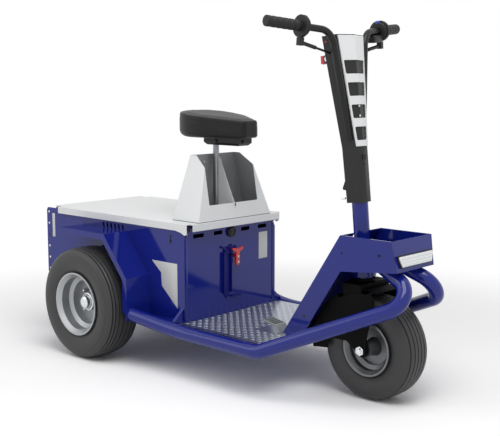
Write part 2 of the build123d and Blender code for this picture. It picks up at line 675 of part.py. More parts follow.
# Box: folded from one side profile, open on top, stepped up over the axle, with cheeks behind the rear wall
LID_UNDER_Z = LID_TOP_Z - LID_T
BOX_TOP_Z = LID_UNDER_Z - SEAT_GAP
BOX_STEP_FRONT_X = GUARD_FRONT_X - BOX_STEP[0]
BOX_STEP_REAR_X = BOX_STEP_FRONT_X - BOX_STEP[1]
CHEEK_TOP_Z = BOX_TOP_Z - MOVE_GAP
CHEEK_REAR_X = BOX_REAR_X - CHEEK_BEHIND
LOUVRE_Z = LID_TOP_Z - LID_SKIRT - LOUVRE_BELOW_LID
PANEL_SLOT_Z = LID_TOP_Z - PANEL_SLOT_DROP
PANEL_SLOTS = [(out * (BOX_HALF_W - inset), wide) for out, inset, wide in OUTER_SLOTS] + list(INNER_SLOTS)
with BuildPart() as box_shell:
    with BuildSketch(Plane.XZ.offset(-BOX_HALF_W)):
        with BuildLine():
            Polyline(
                (BOX_REAR_X, BOX_TOP_Z), (BOX_REAR_X, BOX_REAR_LOW_Z), (BOX_STEP_REAR_X, BOX_REAR_LOW_Z),
                (BOX_STEP_FRONT_X, BOX_LOW_Z), (BOX_FRONT_X, BOX_LOW_Z), (BOX_FRONT_X, BOX_TOP_Z),
                close=True,
            )
        make_face()
    extrude(amount=2 * BOX_HALF_W)
    offset(amount=-SHEET, openings=box_shell.faces().sort_by(Axis.Z)[-1])
    with BuildSketch(Plane.XZ.offset(BOX_HALF_W - SHEET)) as cheek_outline:
        with BuildLine():
            Polyline(
                (BOX_REAR_X, CHEEK_TOP_Z), (BOX_REAR_X, BOX_REAR_LOW_Z), (CHEEK_REAR_X, BOX_REAR_LOW_Z),
                (CHEEK_REAR_X, CHEEK_TOP_Z), close=True,
            )
        make_face()
        fillet(cheek_outline.vertices().group_by(Axis.X)[0], radius=CHEEK_ROUND)
    extrude(amount=SHEET)
    extrude(cheek_outline.sketch.moved(Location((0, 2 * BOX_HALF_W - SHEET, 0))), amount=SHEET)
    for out in (-1, 1):
        with BuildSketch(Plane(origin=(0, out * BOX_HALF_W, 0), x_dir=(1, 0, 0), z_dir=(0, -1, 0))):
            for i in range(LOUVRE_COUNT):
                with Locations((LOUVRE_FIRST_X + i * LOUVRE_PITCH, LOUVRE_Z)):
                    RectangleRounded(*LOUVRE_SIZE, SHEET, rotation=LOUVRE_LEAN)
        extrude(amount=SHEET * 2, both=True, mode=Mode.SUBTRACT)
    with BuildSketch(Plane(origin=(BOX_FRONT_X, 0, 0), x_dir=(0, 1, 0), z_dir=(1, 0, 0))):
        for slot_y, slot_w in PANEL_SLOTS:
            with Locations((slot_y, PANEL_SLOT_Z)):
                RectangleRounded(slot_w, PANEL_SLOT_H, SHEET)
    extrude(amount=SHEET * 2, both=True, mode=Mode.SUBTRACT)
save("box_shell", box_shell)

# Socket plug in the middle of the front panel
with BuildPart() as socket_plug:
    with BuildSketch(Plane(origin=(BOX_FRONT_X, PLUG_Y, PANEL_SLOT_Z - SHEET), z_dir=(1, 0, 0))):
        Circle(PLUG_R)
    extrude(amount=PLUG_OUT)
    chamfer(socket_plug.edges().group_by(Axis.X)[-1], length=SHEET)
save("socket_plug", socket_plug)

# Battery and transaxle: plain blocks at their real places
with BuildPart() as battery:
    with Locations((BOX_FRONT_X - SHEET - MOVE_GAP, 0, BOX_LOW_Z + SHEET)):
        Box(
            BATTERY[0], 2 * (BOX_HALF_W - SHEET - BATTERY[1]), BATTERY[2],
            align=(Align.MAX, Align.CENTER, Align.MIN),
        )
save("battery", battery)

AXLE_REACH = REAR_TRACK / 2 + REAR_DISC_OUT - DISC_T - MOVE_GAP
with BuildPart() as transaxle:
    with Locations((0, 0, BOX_REAR_LOW_Z)):
        Box(*TRANSAXLE, align=(Align.CENTER, Align.CENTER, Align.MAX))
    with BuildSketch(Plane(origin=(0, -AXLE_REACH, REAR_WHEEL["tyre_r"]), z_dir=(0, 1, 0))):
        Circle(AXLE_TUBE_R)
    extrude(amount=2 * AXLE_REACH)
    for out in (-1, 1):
        with BuildSketch(Plane(origin=(0, out * AXLE_REACH, REAR_WHEEL["tyre_r"]), z_dir=(0, -out, 0))):
            Circle(STUB_R + RUN_GAP)
        extrude(amount=STUB_LENGTH, mode=Mode.SUBTRACT)
    fillet(transaxle.edges().filter_by(Axis.Y).group_by(Axis.Z)[0], radius=SUMP_ROUND)
save("transaxle", transaxle)

# Deck lid: top sheet with its corners cut out, skirts on three sides and two hinge lugs under its rear edge
LID_NOTCH_X = LID_REAR_X + LID_NOTCH[0]
LID_NOTCH_HALF_W = LID_HALF_W - LID_NOTCH[1]
LID_CORNER_X = LID_FRONT_X - LID_CORNER
LID_CORNER_HALF_W = LID_HALF_W - LID_CORNER
SKIRT_LOW_Z = LID_TOP_Z - LID_SKIRT
with BuildPart() as lid:
    with BuildSketch(Plane.XY.offset(LID_UNDER_Z)):
        half_sheet = [
            (LID_FRONT_X, LID_CORNER_HALF_W), (LID_CORNER_X, LID_CORNER_HALF_W), (LID_CORNER_X, LID_HALF_W),
            (LID_NOTCH_X, LID_HALF_W), (LID_NOTCH_X, LID_NOTCH_HALF_W), (LID_REAR_X, LID_NOTCH_HALF_W),
        ]
        Polygon(*half_sheet, *[(x, -y) for x, y in half_sheet[::-1]], align=None)
    extrude(amount=LID_T)
    with Locations((LID_FRONT_X, 0, LID_UNDER_Z)):
        Box(
            LID_T, 2 * LID_CORNER_HALF_W, LID_UNDER_Z - SKIRT_LOW_Z,
            align=(Align.MAX, Align.CENTER, Align.MAX),
        )
    for out in (-1, 1):
        with BuildSketch(Plane.XZ.offset(-out * LID_HALF_W)):
            Polygon(
                (LID_NOTCH_X, LID_UNDER_Z), (LID_NOTCH_X, SKIRT_LOW_Z),
                *[(LID_CORNER_X - behind, SKIRT_LOW_Z - drop) for behind, drop in LID_TAB],
                (LID_CORNER_X, LID_UNDER_Z), align=None,
            )
        extrude(amount=out * LID_T)
        with BuildSketch(Plane.XZ.offset(-out * LUG_Y - LUG_T / 2)):
            with Locations((HINGE_X, HINGE_Z)):
                Circle(LUG_EYE_R)
            with Locations((HINGE_X, HINGE_Z)):
                Rectangle(2 * LUG_EYE_R, LID_UNDER_Z - HINGE_Z, align=(Align.CENTER, Align.MIN))
            with Locations((HINGE_X, HINGE_Z)):
                Circle(HINGE_PIN_R + RUN_GAP, mode=Mode.SUBTRACT)
        extrude(amount=LUG_T)
save("lid", lid)

# Hinge pins: one from each cheek through its lug
with BuildPart() as hinge_pins:
    for out in (-1, 1):
        with BuildSketch(Plane(origin=(HINGE_X, out * (BOX_HALF_W - SHEET), HINGE_Z), z_dir=(0, -out, 0))):
            Circle(HINGE_PIN_R)
        extrude(amount=BOX_HALF_W - SHEET - LUG_Y + LUG_T)
save("hinge_pins", hinge_pins)

# Corner latches under the lid's front corners
with BuildPart() as lid_latches:
    for out, near in ((-1, Align.MIN), (1, Align.MAX)):
        with Locations((BOX_FRONT_X, out * BOX_HALF_W, LID_UNDER_Z - MOVE_GAP)):
            Box(*LATCH_SIZE, align=(Align.MIN, near, Align.MAX))
    fillet(lid_latches.edges().filter_by(Axis.Z), radius=SHEET)
save("lid_latches", lid_latches)

# Rear wheel guards: a folded web from the box wall out to a narrow flange, and a step plate with its gusset
GUARD_LINE = [
    (GUARD_REAR_X, GUARD_TOP_Z), (GUARD_FRONT_X - GUARD_SLOPE[0], GUARD_TOP_Z),
    (GUARD_FRONT_X, GUARD_TOP_Z - GUARD_SLOPE[1]),
]
FLANGE_FOOT_Z = FLOOR_TOP_Z + GUARD_FOOT[1]
FLOOR_HALF = TUBE_OUT - TUBE_R - RUN_GAP * 4
STEP_TOP_Z = BOX_LOW_Z + SHEET
STEP_REAR_HALF = TUBE_START[1] - TUBE_R - STEP_GAP
GUSSET_FOOT_Z = BOX_LOW_Z + SHEET / 2
for side, out in (("right", -1), ("left", 1)):
    with BuildPart() as guard:
        web = sheet_band(GUARD_LINE + [(GUARD_FRONT_X, FLOOR_TOP_Z - GUARD_FOOT[0])], SHEET)
        with BuildSketch(Plane(origin=(0, out * BOX_HALF_W, 0), x_dir=(1, 0, 0), z_dir=(0, -1, 0))):
            Polygon(*web, align=None)
        extrude(amount=-out * (GUARD_HALF_W - BOX_HALF_W))
        flange = sheet_band(GUARD_LINE + [(GUARD_FRONT_X, FLANGE_FOOT_Z)], GUARD_FLANGE)
        flange[len(GUARD_LINE) + 1] = (GUARD_FRONT_X - GUARD_FLANGE, FLANGE_FOOT_Z + GUARD_CHAMFER)
        with BuildSketch(Plane(origin=(0, out * GUARD_HALF_W, 0), x_dir=(1, 0, 0), z_dir=(0, -1, 0))):
            Polygon(*flange, align=None)
        extrude(amount=out * SHEET)
        with BuildSketch(Plane.XY.offset(BOX_LOW_Z)):
            Polygon(
                (GUARD_FRONT_X - SHEET, out * BOX_HALF_W), (BOX_FRONT_X, out * BOX_HALF_W),
                (BOX_FRONT_X, out * FLOOR_HALF), (GUARD_FRONT_X - SHEET, out * STEP_REAR_HALF), align=None,
            )
        extrude(amount=SHEET)
        gusset_plane = Plane(
            origin=(BOX_FRONT_X - GUSSET_BACK, out * BOX_HALF_W, 0), x_dir=(0, 1, 0), z_dir=(1, 0, 0),
        )
        with BuildSketch(gusset_plane):
            Polygon(
                (0, STEP_TOP_Z + GUSSET_RISE), (out * GUSSET_OUT[0], STEP_TOP_Z + GUSSET_OUT[1]),
                (out * (FLOOR_HALF - BOX_HALF_W), GUSSET_FOOT_Z), (0, GUSSET_FOOT_Z), align=None,
            )
        extrude(amount=-GUSSET_T)
    save(f"rear_guard_{side}", guard)

# Frame tubes: from the guard's web past the footwell, then rising to a hoop that turns back under the tray
ARM_TAN = tan(radians(ARM_SLOPE))
HEAD_REAR_TOP_X = ARM_FOOT_X + (HEAD_TOP_Z - FLOOR_TOP_Z) / ARM_TAN
HEAD_REAR_LOW_X = ARM_FOOT_X + ARM_W_X + (HEAD_REAR_LOW_Z - FLOOR_TOP_Z) / ARM_TAN
TRAY_RISE = (HEAD_FRONT_LOW[1] - HEAD_REAR_LOW_Z) / (HEAD_FRONT_LOW[0] - HEAD_REAR_LOW_X)
for side, out in (("right", -1), ("left", 1)):
    with BuildPart() as tube:
        with BuildLine() as tube_line:
            FilletPolyline(*tube_points(out), radius=TUBE_BENDS)
        with BuildSketch(Plane(origin=tube_line.line @ 0, z_dir=tube_line.line % 0)):
            Circle(TUBE_R)
        sweep(path=tube_line.line)
        split(bisect_by=Plane(origin=(GUARD_FRONT_X + SEAT_GAP, 0, 0), z_dir=(1, 0, 0)), keep=Keep.TOP)
        under_tray = (HEAD_REAR_LOW_X, 0, HEAD_REAR_LOW_Z - SEAT_GAP)
        split(bisect_by=Plane(origin=under_tray, z_dir=(-TRAY_RISE, 0, 1)), keep=Keep.BOTTOM)
    save(f"frame_tube_{side}", tube)

# Footwell floor and the cross bars that carry it
FLOOR_TAPER_X = FLOOR_FRONT_X - FLOOR_TAPER[0]
FLOOR_FRONT_HALF = FLOOR_HALF - FLOOR_TAPER[1]
with BuildPart() as floor_plate:
    with BuildSketch(Plane.XY.offset(FLOOR_TOP_Z - FLOOR_T)):
        with BuildLine():
            Polyline(
                (BOX_FRONT_X, FLOOR_HALF), (BOX_FRONT_X, -FLOOR_HALF), (FLOOR_TAPER_X, -FLOOR_HALF),
                (FLOOR_FRONT_X, -FLOOR_FRONT_HALF), (FLOOR_FRONT_X, FLOOR_FRONT_HALF),
                (FLOOR_TAPER_X, FLOOR_HALF), close=True,
            )
        make_face()
    extrude(amount=FLOOR_T)
save("floor_plate", floor_plate)

FIRST_BAR_X = BOX_FRONT_X + CROSS_BAR_IN[0]
LAST_BAR_X = FLOOR_FRONT_X - CROSS_BAR_IN[1]
with BuildPart() as cross_bars:
    for x in (FIRST_BAR_X, (FIRST_BAR_X + LAST_BAR_X) / 2, LAST_BAR_X):
        with Locations((x, 0, FLOOR_TOP_Z - FLOOR_T)):
            Box(
                CROSS_BAR[0], 2 * (TUBE_OUT - TUBE_R - SEAT_GAP), CROSS_BAR[1],
                align=(Align.CENTER, Align.CENTER, Align.MAX),
            )
save("cross_bars", cross_bars)

# Brake pedal: raked pad on a bent arm that stands on the floor
with BuildPart() as pedal:
    with BuildSketch(Plane.XZ.offset(-PEDAL_Y)):
        with BuildLine():
            Polyline(*[(PEDAL_X + x, FLOOR_TOP_Z + z) for x, z in PEDAL_LINE], close=True)
        make_face()
    extrude(amount=PEDAL_HALF_W, both=True)
save("pedal", pedal)


# Steering head: cheek plates, each with its raking arm down to the floor and a facet folded in at the front
def facet_plane(out):
    """Outer face of a cheek's front facet: local x along the fold, local z inwards."""
    fold_low = Vector(HEAD_REAR_LOW_X, out * HEAD_HALF_W, HEAD_REAR_LOW_Z)
    fold = Vector(HEAD_FRONT_TOP_X, out * HEAD_HALF_W, HEAD_TOP_Z) - fold_low
    nose = Vector(HEAD_FRONT_LOW[0], out * (HEAD_HALF_W - HEAD_LEAN), HEAD_FRONT_LOW[1]) - fold_low
    return Plane(origin=fold_low, x_dir=fold, z_dir=nose.cross(fold) * out)


for side, out in (("right", -1), ("left", 1)):
    with BuildPart() as cheek:
        with BuildSketch(Plane(origin=(0, out * HEAD_HALF_W, 0), x_dir=(1, 0, 0), z_dir=(0, -1, 0))):
            Polygon(
                (ARM_FOOT_X, FLOOR_TOP_Z), (ARM_FOOT_X + ARM_W_X, FLOOR_TOP_Z),
                (HEAD_REAR_LOW_X, HEAD_REAR_LOW_Z), (HEAD_FRONT_TOP_X, HEAD_TOP_Z),
                (HEAD_REAR_TOP_X, HEAD_TOP_Z), align=None,
            )
        extrude(amount=out * HEAD_PLATE)
        facet = facet_plane(out)
        nose_y = out * (HEAD_HALF_W - HEAD_LEAN)
        nose = facet.to_local_coords(Vector(HEAD_FRONT_LOW[0], nose_y, HEAD_FRONT_LOW[1]))
        fold_end = facet.to_local_coords(Vector(HEAD_FRONT_TOP_X, out * HEAD_HALF_W, HEAD_TOP_Z))
        with BuildSketch(facet):
            Polygon((0, 0), (fold_end.X, fold_end.Y), (nose.X, nose.Y), align=None)
        extrude(amount=HEAD_PLATE)
    save(f"head_cheek_{side}", cheek)

# Tray between the cheeks: floor, front wall and a back wall behind the column
TRAY_HALF = HEAD_HALF_W - HEAD_PLATE
with BuildPart() as head_tray:
    tray_line = (
        (HEAD_REAR_TOP_X, HEAD_TOP_Z), (HEAD_REAR_LOW_X - ARM_W_X, HEAD_REAR_LOW_Z),
        (HEAD_REAR_LOW_X, HEAD_REAR_LOW_Z), HEAD_FRONT_LOW, (HEAD_FRONT_TOP_X, HEAD_TOP_Z),
    )
    with BuildSketch(Plane.XZ.offset(-TRAY_HALF)):
        with BuildLine():
            Polyline(*sheet_band(tray_line[::-1], TRAY_T), close=True)
        make_face()
    extrude(amount=2 * TRAY_HALF)
    with BuildSketch(steer_plane(-HEAD_TUBE_DOWN[0])):
        Circle(HEAD_TUBE_R + SEAT_GAP)
    extrude(amount=HEAD_TUBE_DOWN[0], mode=Mode.SUBTRACT)
    for out in (-1, 1):
        split(bisect_by=facet_plane(out).offset(HEAD_PLATE + SEAT_GAP), keep=Keep.TOP)
save("head_tray", head_tray)

# Head tube: the steering bearing housing through the tray floor
with BuildPart() as head_tube:
    with BuildSketch(steer_plane(-HEAD_TUBE_DOWN[0])):
        Circle(HEAD_TUBE_R)
        Circle(COLUMN_R + RUN_GAP, mode=Mode.SUBTRACT)
    extrude(amount=HEAD_TUBE_DOWN[0] - HEAD_TUBE_DOWN[1])
save("head_tube", head_tube)

# Head lamp: a bar lens on the tray's front wall, narrower below
LAMP_LEAN = atan2(HEAD_FRONT_LOW[0] - HEAD_FRONT_TOP_X, HEAD_TOP_Z - HEAD_FRONT_LOW[1])
lamp_x = HEAD_FRONT_TOP_X + LAMP_BELOW_TOP * tan(LAMP_LEAN)
with BuildPart() as head_lamp:
    lamp_dir = (cos(LAMP_LEAN), 0, sin(LAMP_LEAN))
    lamp_face = Plane(origin=(lamp_x, 0, HEAD_TOP_Z - LAMP_BELOW_TOP), x_dir=(0, 1, 0), z_dir=lamp_dir)
    with BuildSketch(lamp_face) as lens:
        Polygon(
            (-LAMP_HALF_W[0], LAMP_H / 2), (-LAMP_HALF_W[1], -LAMP_H / 2), (LAMP_HALF_W[1], -LAMP_H / 2),
            (LAMP_HALF_W[0], LAMP_H / 2), align=None,
        )
        fillet(lens.vertices(), radius=LAMP_ROUND)
    extrude(amount=LAMP_T)
    fillet(head_lamp.faces().sort_by(Axis.X)[-1].edges(), radius=LAMP_T / 4)
save("head_lamp", head_lamp)

# Seat tower: tapering folded sheet, open on top, with a mouth in front and its sides cut back above it
TOWER_MOUTH_Z = LID_TOP_Z + TOWER_MOUTH_RISE
TOWER_CUT_TO_X = TOWER_X[0] + TOWER_CUT[0]
TOWER_CUT_FROM = (TOWER_X[1] - TOWER_CUT[2], TOWER_TOP_Z - TOWER_CUT[1])
TOWER_MOUTH_H = TOWER_CUT_FROM[1] - TOWER_MOUTH_Z + TOWER_T
with BuildPart() as seat_tower:
    for z, xs, half_w in ((LID_TOP_Z, TOWER_X, TOWER_HALF_W), (TOWER_TOP_Z, TOWER_TOP_X, TOWER_TOP_HALF_W)):
        with BuildSketch(Plane.XY.offset(z)):
            with Locations(((xs[0] + xs[1]) / 2, 0)):
                Rectangle(xs[1] - xs[0], 2 * half_w)
    loft(ruled=True)
    ends = seat_tower.faces().sort_by(Axis.Z)
    offset(amount=-TOWER_T, openings=[ends[0], ends[-1]])
    with BuildSketch(side_plane(TOWER_X[1], 1, TOWER_MOUTH_Z)) as mouth:
        Rectangle(2 * TOWER_MOUTH_HALF_W, TOWER_MOUTH_H, align=(Align.CENTER, Align.MIN))
        fillet(mouth.vertices().group_by(Axis.Y)[0], radius=TOWER_MOUTH_ROUND)
    extrude(amount=-TOWER_TOP_IN[1], mode=Mode.SUBTRACT)
    with BuildSketch(Plane.XZ.offset(-TOWER_HALF_W)):
        with BuildLine():
            Polyline(
                (TOWER_CUT_TO_X, TOWER_TOP_Z), TOWER_CUT_FROM, (TOWER_X[1], TOWER_CUT_FROM[1]),
                (TOWER_X[1], TOWER_TOP_Z + TOWER_T), (TOWER_CUT_TO_X, TOWER_TOP_Z + TOWER_T), close=True,
            )
        make_face()
    extrude(amount=2 * TOWER_HALF_W, mode=Mode.SUBTRACT)
save("seat_tower", seat_tower)

# Seat post and the bracket that carries the saddle
with BuildPart() as seat_post:
    with BuildSketch(Plane.XY.offset(LID_TOP_Z)):
        with Locations((POST_X, 0)):
            Circle(POST_R)
    extrude(amount=POST_TOP_Z - LID_TOP_Z)
save("seat_post", seat_post)

with BuildPart() as seat_bracket:
    with Locations((POST_X + BRACKET_AHEAD, 0, POST_TOP_Z)):
        Box(BRACKET[0], BRACKET[1], BRACKET[2] - SEAT_GAP, align=(Align.CENTER, Align.CENTER, Align.MIN))
    chamfer(seat_bracket.faces().sort_by(Axis.Z)[0].edges(), length=BRACKET_CHAMFER)
save("seat_bracket", seat_bracket)

# Saddle: round behind, drawn in by straight sides to a blunt nose, its top falling forward
SEAT_ROUND_X = POST_X - SEAT_BEHIND_POST
SEAT_REAR_X = SEAT_ROUND_X - SEAT_ROUND_R
SEAT_NOSE_X = SEAT_REAR_X + SEAT_LENGTH
NOSE_REACH = hypot(SEAT_NOSE_X - SEAT_ROUND_X, SEAT_NOSE_HALF_W)
BLEND_AT = atan2(SEAT_NOSE_HALF_W, SEAT_NOSE_X - SEAT_ROUND_X) + acos(SEAT_ROUND_R / NOSE_REACH)
blend_x = SEAT_ROUND_X + SEAT_ROUND_R * cos(BLEND_AT)
blend_y = SEAT_ROUND_R * sin(BLEND_AT)
with BuildPart() as seat:
    with BuildSketch(Plane.XY.offset(SEAT_LOW_Z)) as saddle:
        with Locations((SEAT_ROUND_X, 0)):
            Circle(SEAT_ROUND_R)
        Polygon(
            (blend_x, blend_y), (SEAT_NOSE_X, SEAT_NOSE_HALF_W), (SEAT_NOSE_X, -SEAT_NOSE_HALF_W),
            (blend_x, -blend_y), align=None,
        )
        fillet(saddle.vertices().group_by(Axis.X)[-1], radius=SEAT_NOSE_ROUND)
    extrude(amount=SEAT_T[0])
    top = Plane(
        origin=(SEAT_REAR_X, 0, SEAT_LOW_Z + SEAT_T[0]), z_dir=(SEAT_T[0] - SEAT_T[1], 0, SEAT_LENGTH),
    )
    split(bisect_by=top, keep=Keep.BOTTOM)
    fillet(seat.faces().sort_by(Axis.Z)[-1].edges(), radius=SEAT_EDGE)
save("seat", seat)

# Tow hitch: back plate with a two-lipped jaw bored for a drop pin
HITCH_Z = BOX_REAR_LOW_Z + HITCH_RISE
with BuildPart() as tow_hitch:
    with Locations((BOX_REAR_X, 0, HITCH_Z)):
        Box(*HITCH_PLATE, align=(Align.MAX, Align.CENTER, Align.CENTER))
    plate_x = BOX_REAR_X - HITCH_PLATE[0]
    for z in (HITCH_Z - JAW_GAP / 2 - JAW_T, HITCH_Z + JAW_GAP / 2):
        with BuildSketch(Plane.XY.offset(z)):
            with Locations((plate_x, 0)):
                Rectangle(JAW_REACH, 2 * JAW_HALF_W, align=(Align.MAX, Align.CENTER))
            with Locations((plate_x - JAW_REACH, 0)):
                Circle(JAW_HALF_W)
                Circle(TOW_PIN_R, mode=Mode.SUBTRACT)
        extrude(amount=JAW_T)
save("tow_hitch", tow_hitch)

# Lever channel: folded upright on the front panel with a pointed foot and a forked head
CHANNEL_LOW_Z, CHANNEL_TOP_Z = [BOX_LOW_Z + rise for rise in CHANNEL_RISE]
with BuildPart() as lever_channel:
    channel = Plane(origin=(BOX_FRONT_X, CHANNEL_Y, 0), x_dir=(0, 1, 0), z_dir=(1, 0, 0))
    half = CHANNEL_W / 2
    with BuildSketch(channel):
        Polygon(
            (-half, CHANNEL_TOP_Z), (-half, CHANNEL_LOW_Z + CHANNEL_POINT), (0, CHANNEL_LOW_Z),
            (half, CHANNEL_LOW_Z + CHANNEL_POINT), (half, CHANNEL_TOP_Z), align=None,
        )
    extrude(amount=CHANNEL_DEPTH)
    with BuildSketch(Plane.XY.offset(CHANNEL_LOW_Z)):
        with Locations((BOX_FRONT_X + SHEET, CHANNEL_Y)):
            Rectangle(CHANNEL_DEPTH, CHANNEL_W - 2 * SHEET, align=(Align.MIN, Align.CENTER))
    extrude(amount=CHANNEL_TOP_Z - CHANNEL_LOW_Z - SHEET, mode=Mode.SUBTRACT)
    head = [(y, CHANNEL_TOP_Z + rise) for y, rise in CHANNEL_HEAD]
    with BuildSketch(channel):
        Polygon(*head, *[(-y, z) for y, z in head[-2::-1]], align=None)
    extrude(amount=CHANNEL_DEPTH / 2)
    with Locations((BOX_FRONT_X, CHANNEL_Y + half, CHANNEL_LOW_Z + FOOT_TAB[1])):
        Box(FOOT_TAB[2], FOOT_TAB[0], FOOT_TAB[1], align=Align.MIN)
save("lever_channel", lever_channel)

# Tow release lever: flat red stem with a forked head, on a boss from the panel
LEVER_LOW_Z, LEVER_TOP_Z = [BOX_LOW_Z + rise for rise in LEVER_RISE]
with BuildPart() as tow_lever:
    with BuildSketch(Plane(origin=(BOX_FRONT_X + LEVER_OFF, LEVER_Y, 0), x_dir=(0, 1, 0), z_dir=(1, 0, 0))):
        with BuildLine():
            Polyline(
                (-LEVER_W / 2, LEVER_LOW_Z), (LEVER_W / 2, LEVER_LOW_Z),
                (LEVER_W / 2, LEVER_TOP_Z - LEVER_W),
                (LEVER_HEAD_W / 2, LEVER_TOP_Z - LEVER_W / 2), (LEVER_HEAD_W / 2, LEVER_TOP_Z),
                (0, LEVER_TOP_Z - LEVER_W / 3), (-LEVER_HEAD_W / 2, LEVER_TOP_Z),
                (-LEVER_HEAD_W / 2, LEVER_TOP_Z - LEVER_W / 2),
                (-LEVER_W / 2, LEVER_TOP_Z - LEVER_W), close=True,
            )
        make_face()
    extrude(amount=LEVER_T)
    fillet(tow_lever.edges().filter_by(Axis.X).group_by(Axis.Z)[0], radius=LEVER_W / 3)
    with BuildSketch(Plane(origin=(BOX_FRONT_X, LEVER_Y, (LEVER_LOW_Z + LEVER_TOP_Z) / 2), z_dir=(1, 0, 0))):
        Circle(LEVER_W / 3)
    extrude(amount=LEVER_OFF)
save("tow_lever", tow_lever)
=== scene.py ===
# Electric tow tractor: a three-wheeled ride-on tug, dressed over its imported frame
import math

import bmesh
import bpy
from mathutils import Matrix, Vector


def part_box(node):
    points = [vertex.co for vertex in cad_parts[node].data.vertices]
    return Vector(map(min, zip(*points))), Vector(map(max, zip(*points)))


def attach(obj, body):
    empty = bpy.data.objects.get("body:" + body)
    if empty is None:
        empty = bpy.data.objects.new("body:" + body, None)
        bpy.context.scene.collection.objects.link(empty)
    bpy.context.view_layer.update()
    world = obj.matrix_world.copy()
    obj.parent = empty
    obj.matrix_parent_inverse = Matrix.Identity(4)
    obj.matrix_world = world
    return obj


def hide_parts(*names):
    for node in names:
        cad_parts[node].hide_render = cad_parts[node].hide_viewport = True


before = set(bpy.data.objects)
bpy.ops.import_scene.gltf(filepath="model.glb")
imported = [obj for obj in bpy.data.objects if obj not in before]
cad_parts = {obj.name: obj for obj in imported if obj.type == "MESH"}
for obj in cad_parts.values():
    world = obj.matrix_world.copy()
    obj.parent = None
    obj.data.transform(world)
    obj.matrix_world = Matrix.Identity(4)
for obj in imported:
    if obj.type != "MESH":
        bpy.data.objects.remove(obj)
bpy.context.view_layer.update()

scene = bpy.context.scene
scene.view_settings.view_transform = "Standard"

# Studio: a pale seamless floor that fades to white, one large soft lamp above and ahead of the tractor, a
# weaker one to its right, and an even white surround that the gloss paint mirrors.
FLOOR_HALF = 14.0
FADE_FROM, FADE_TO = 1.1, 2.2
SURROUND_LIGHT, SURROUND_SEEN = 0.4, 1.0
# Columns: name, watts, side of the square lamp, place, point it faces
LAMPS = (
    ("key_lamp", 74.0, 2.4, (1.5, -1.0, 3.6), (0.0, 0.0, 0.4)),
    ("side_lamp", 24.0, 2.4, (-1.8, -3.0, 2.6), (0.0, 0.0, 0.4)),
)


def linear(code):
    """sRGB hex colour as linear RGBA."""
    parts = [int(code[i:i + 2], 16) / 255 for i in (1, 3, 5)]
    return [p / 12.92 if p <= 0.04045 else ((p + 0.055) / 1.055) ** 2.4 for p in parts] + [1.0]


def add(tree, kind, settings=None, links=None):
    """One node with its settings, and links into it by socket."""
    made = tree.nodes.new(kind if "Node" in kind else "ShaderNode" + kind)
    for key, value in (settings or {}).items():
        if isinstance(key, int) or key in made.inputs:
            made.inputs[key].default_value = value
        else:
            setattr(made, key, value)
    for key, source in (links or {}).items():
        tree.links.new(source, made.inputs[key])
    return made


def blank_material(name):
    """New material with an empty node tree."""
    made = bpy.data.materials.new(name)
    made.use_nodes = True
    made.node_tree.nodes.clear()
    return made, made.node_tree


floor_mesh = bmesh.new()
bmesh.ops.create_grid(floor_mesh, x_segments=1, y_segments=1, size=FLOOR_HALF)
floor_data = bpy.data.meshes.new("studio_floor")
floor_mesh.to_mesh(floor_data)
floor_mesh.free()
studio_floor = bpy.data.objects.new("studio_floor", floor_data)
scene.collection.objects.link(studio_floor)
# Matt white paint: soft shadows near the tractor, plain white further out. Camera and mirror rays see it
# brighter than it lights the tractor from below.
floor_paint, tree = blank_material("seamless_floor")
where = add(tree, "TexCoord")
reach = add(tree, "VectorMath", {"operation": "LENGTH"}, {0: where.outputs["Object"]})
fade = add(
    tree, "MapRange", {"interpolation_type": "SMOOTHSTEP", 1: FADE_FROM, 2: FADE_TO}, {0: reach.outputs["Value"]},
)
matt = add(tree, "BsdfDiffuse", {"Color": linear("#f6f6f6")})
more = add(tree, "BsdfDiffuse", {"Color": linear("#8c8c8c")})
both = add(tree, "AddShader", None, {0: matt.outputs[0], 1: more.outputs[0]})
rays = add(tree, "LightPath")
seen = add(
    tree, "Math", {"operation": "MAXIMUM"}, {0: rays.outputs["Is Camera Ray"], 1: rays.outputs["Is Glossy Ray"]},
)
near = add(tree, "MixShader", None, {0: seen.outputs[0], 1: matt.outputs[0], 2: both.outputs[0]})
glow = add(tree, "Emission", {"Color": linear("#ffffff"), "Strength": 1.0})
blend = add(tree, "MixShader", None, {0: fade.outputs[0], 1: near.outputs[0], 2: glow.outputs[0]})
add(tree, "OutputMaterial", None, {"Surface": blend.outputs[0]})
floor_data.materials.append(floor_paint)

surround = bpy.data.worlds.new("white_surround")
surround.use_nodes = True
tree = surround.node_tree
tree.nodes.clear()
rays = add(tree, "LightPath")
seen = add(
    tree, "Math", {"operation": "MAXIMUM"}, {0: rays.outputs["Is Camera Ray"], 1: rays.outputs["Is Glossy Ray"]},
)
seen = add(tree, "Math", {"operation": "MAXIMUM"}, {0: seen.outputs[0], 1: rays.outputs["Is Transmission Ray"]})
even = add(tree, "Background", {"Color": linear("#ffffff"), "Strength": SURROUND_LIGHT})
white = add(tree, "Background", {"Color": linear("#ffffff"), "Strength": SURROUND_SEEN})
mixed = add(tree, "MixShader", None, {0: seen.outputs[0], 1: even.outputs[0], 2: white.outputs[0]})
add(tree, "OutputWorld", None, {"Surface": mixed.outputs[0]})
scene.world = surround

for name, watts, side, stand, aim in LAMPS:
    lamp = bpy.data.lights.new(name, "AREA")
    lamp.energy = watts
    lamp.size = side
    holder = bpy.data.objects.new(name, lamp)
    holder.location = stand
    holder.rotation_euler = (Vector(aim) - Vector(stand)).to_track_quat("-Z", "Y").to_euler()
    scene.collection.objects.link(holder)

